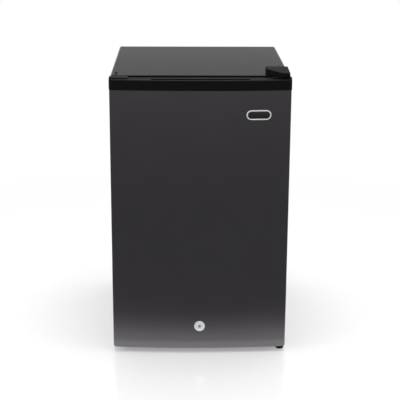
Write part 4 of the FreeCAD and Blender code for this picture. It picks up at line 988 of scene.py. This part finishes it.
def graded(tree, value, tones):
    """Grey that follows a table of (value, tone)."""
    node = add(tree, "ShaderNodeValToRGB", {"Fac": value})
    ramp = node.color_ramp
    ramp.elements.remove(ramp.elements[1])
    for step, tone in tones[1:]:
        ramp.elements.new(step).color = (tone, tone, tone, 1)
    ramp.elements[0].position = tones[0][0]
    ramp.elements[0].color = (tones[0][1], tones[0][1], tones[0][1], 1)
    return node.outputs[0]


def make_painted_reflection_card():
    """Glowing graded card on the floor all round, which only reflections see, from above: a painted
    reflection, bright by the door and dark further off. The door's paint shows it as a painted reflection,
    bright at its foot."""
    inner = [(x * card_hole[0], y * card_hole[1], card_height) for x, y in square_corners]
    outer = [(x * room_half, y * room_half, card_height) for x, y in square_corners]
    mesh = bpy.data.meshes.new("graded_card")
    mesh.from_pydata(inner + outer, [], [(k, k + 4, (k + 1) % 4 + 4, (k + 1) % 4) for k in range(4)])
    card = link("graded_card", mesh)
    material = bpy.data.materials.new("graded_card")
    material.use_nodes = True
    tree = material.node_tree
    tree.nodes.clear()
    place = add(tree, "ShaderNodeTexCoord").outputs["Object"]
    size = add(tree, "ShaderNodeVectorMath", {0: place}, operation="ABSOLUTE")
    past = add(tree, "ShaderNodeVectorMath", {0: size.outputs[0], 1: (cad_high.x, cad_high.y, 0)},
               operation="SUBTRACT")
    beyond = add(tree, "ShaderNodeVectorMath", {0: past.outputs[0], 1: (0, 0, 0)}, operation="MAXIMUM")
    away = add(tree, "ShaderNodeVectorMath", {0: beyond.outputs[0]}, operation="LENGTH").outputs["Value"]
    share = add(tree, "ShaderNodeMath", {0: away, 1: card_reach}, operation="DIVIDE").outputs[0]
    colour = graded(tree, share, painted_reflection_tones)
    # the card glows in these graded tones: a painted reflection for the door, not a lamp
    glow = add(tree, "ShaderNodeEmission", {"Color": colour, "Strength": 1.0})
    below = add(tree, "ShaderNodeNewGeometry").outputs["Backfacing"]
    clear = add(tree, "ShaderNodeBsdfTransparent")
    mix = add(tree, "ShaderNodeMixShader", {0: below, 1: glow.outputs[0], 2: clear.outputs[0]})
    add(tree, "ShaderNodeOutputMaterial", {"Surface": mix.outputs[0]})
    mesh.materials.append(material)
    # seen only by glossy rays, so the card paints reflections and lights nothing
    card.visible_camera = False
    card.visible_diffuse = False
    card.visible_shadow = False
    card.visible_transmission = False


def make_light(name, place, target, size, power):
    """Soft box: a square area light that faces its target."""
    data = bpy.data.lights.new(name, "AREA")
    data.shape = "SQUARE"
    data.size = size
    data.energy = power
    lamp = bpy.data.objects.new(name, data)
    lamp.location = place
    lamp.rotation_euler = (Vector(target) - Vector(place)).to_track_quat("-Z", "Y").to_euler()
    bpy.context.scene.collection.objects.link(lamp)


def make_world():
    """White room: full white at the horizon and below, a dark band over it and grey overhead."""
    world = bpy.data.worlds.new("white_room")
    world.use_nodes = True
    tree = world.node_tree
    tree.nodes.clear()
    heading = add(tree, "ShaderNodeTexCoord").outputs["Generated"]
    rise = add(tree, "ShaderNodeSeparateXYZ", {"Vector": heading}).outputs["Z"]
    sky = add(tree, "ShaderNodeBackground", {"Color": graded(tree, rise, sky_tones), "Strength": 1.0})
    add(tree, "ShaderNodeOutputWorld", {"Surface": sky.outputs[0]})
    bpy.context.scene.world = world


def make_camera():
    """Camera a little left of the middle, looking down on the cabinet's top."""
    data = bpy.data.cameras.new("camera")
    data.sensor_width = 36
    data.lens = camera_focal
    data.shift_y = camera_rise
    camera = bpy.data.objects.new("camera", data)
    turn = Matrix.Rotation(camera_yaw, 4, "Z") @ Matrix.Rotation(math.pi / 2 + camera_pitch, 4, "X")
    camera.matrix_world = Matrix.Translation(camera_place) @ turn @ Matrix.Rotation(camera_roll, 4, "Z")
    bpy.context.scene.collection.objects.link(camera)
    bpy.context.scene.camera = camera


make_floor()
make_painted_reflection_card()
make_world()
make_light("overhead", (0.1, 0.2, 3.2), (0, 0, 0.4), 2.4, 57)
make_light("left_side", (-2.6, -1.4, 1.8), (0, 0, 0.5), 1.6, 20)
make_light("right_side", (2.6, -0.8, 1.8), (0, 0, 0.5), 1.6, 14)
make_camera()
bpy.context.scene.view_settings.view_transform = "Standard"
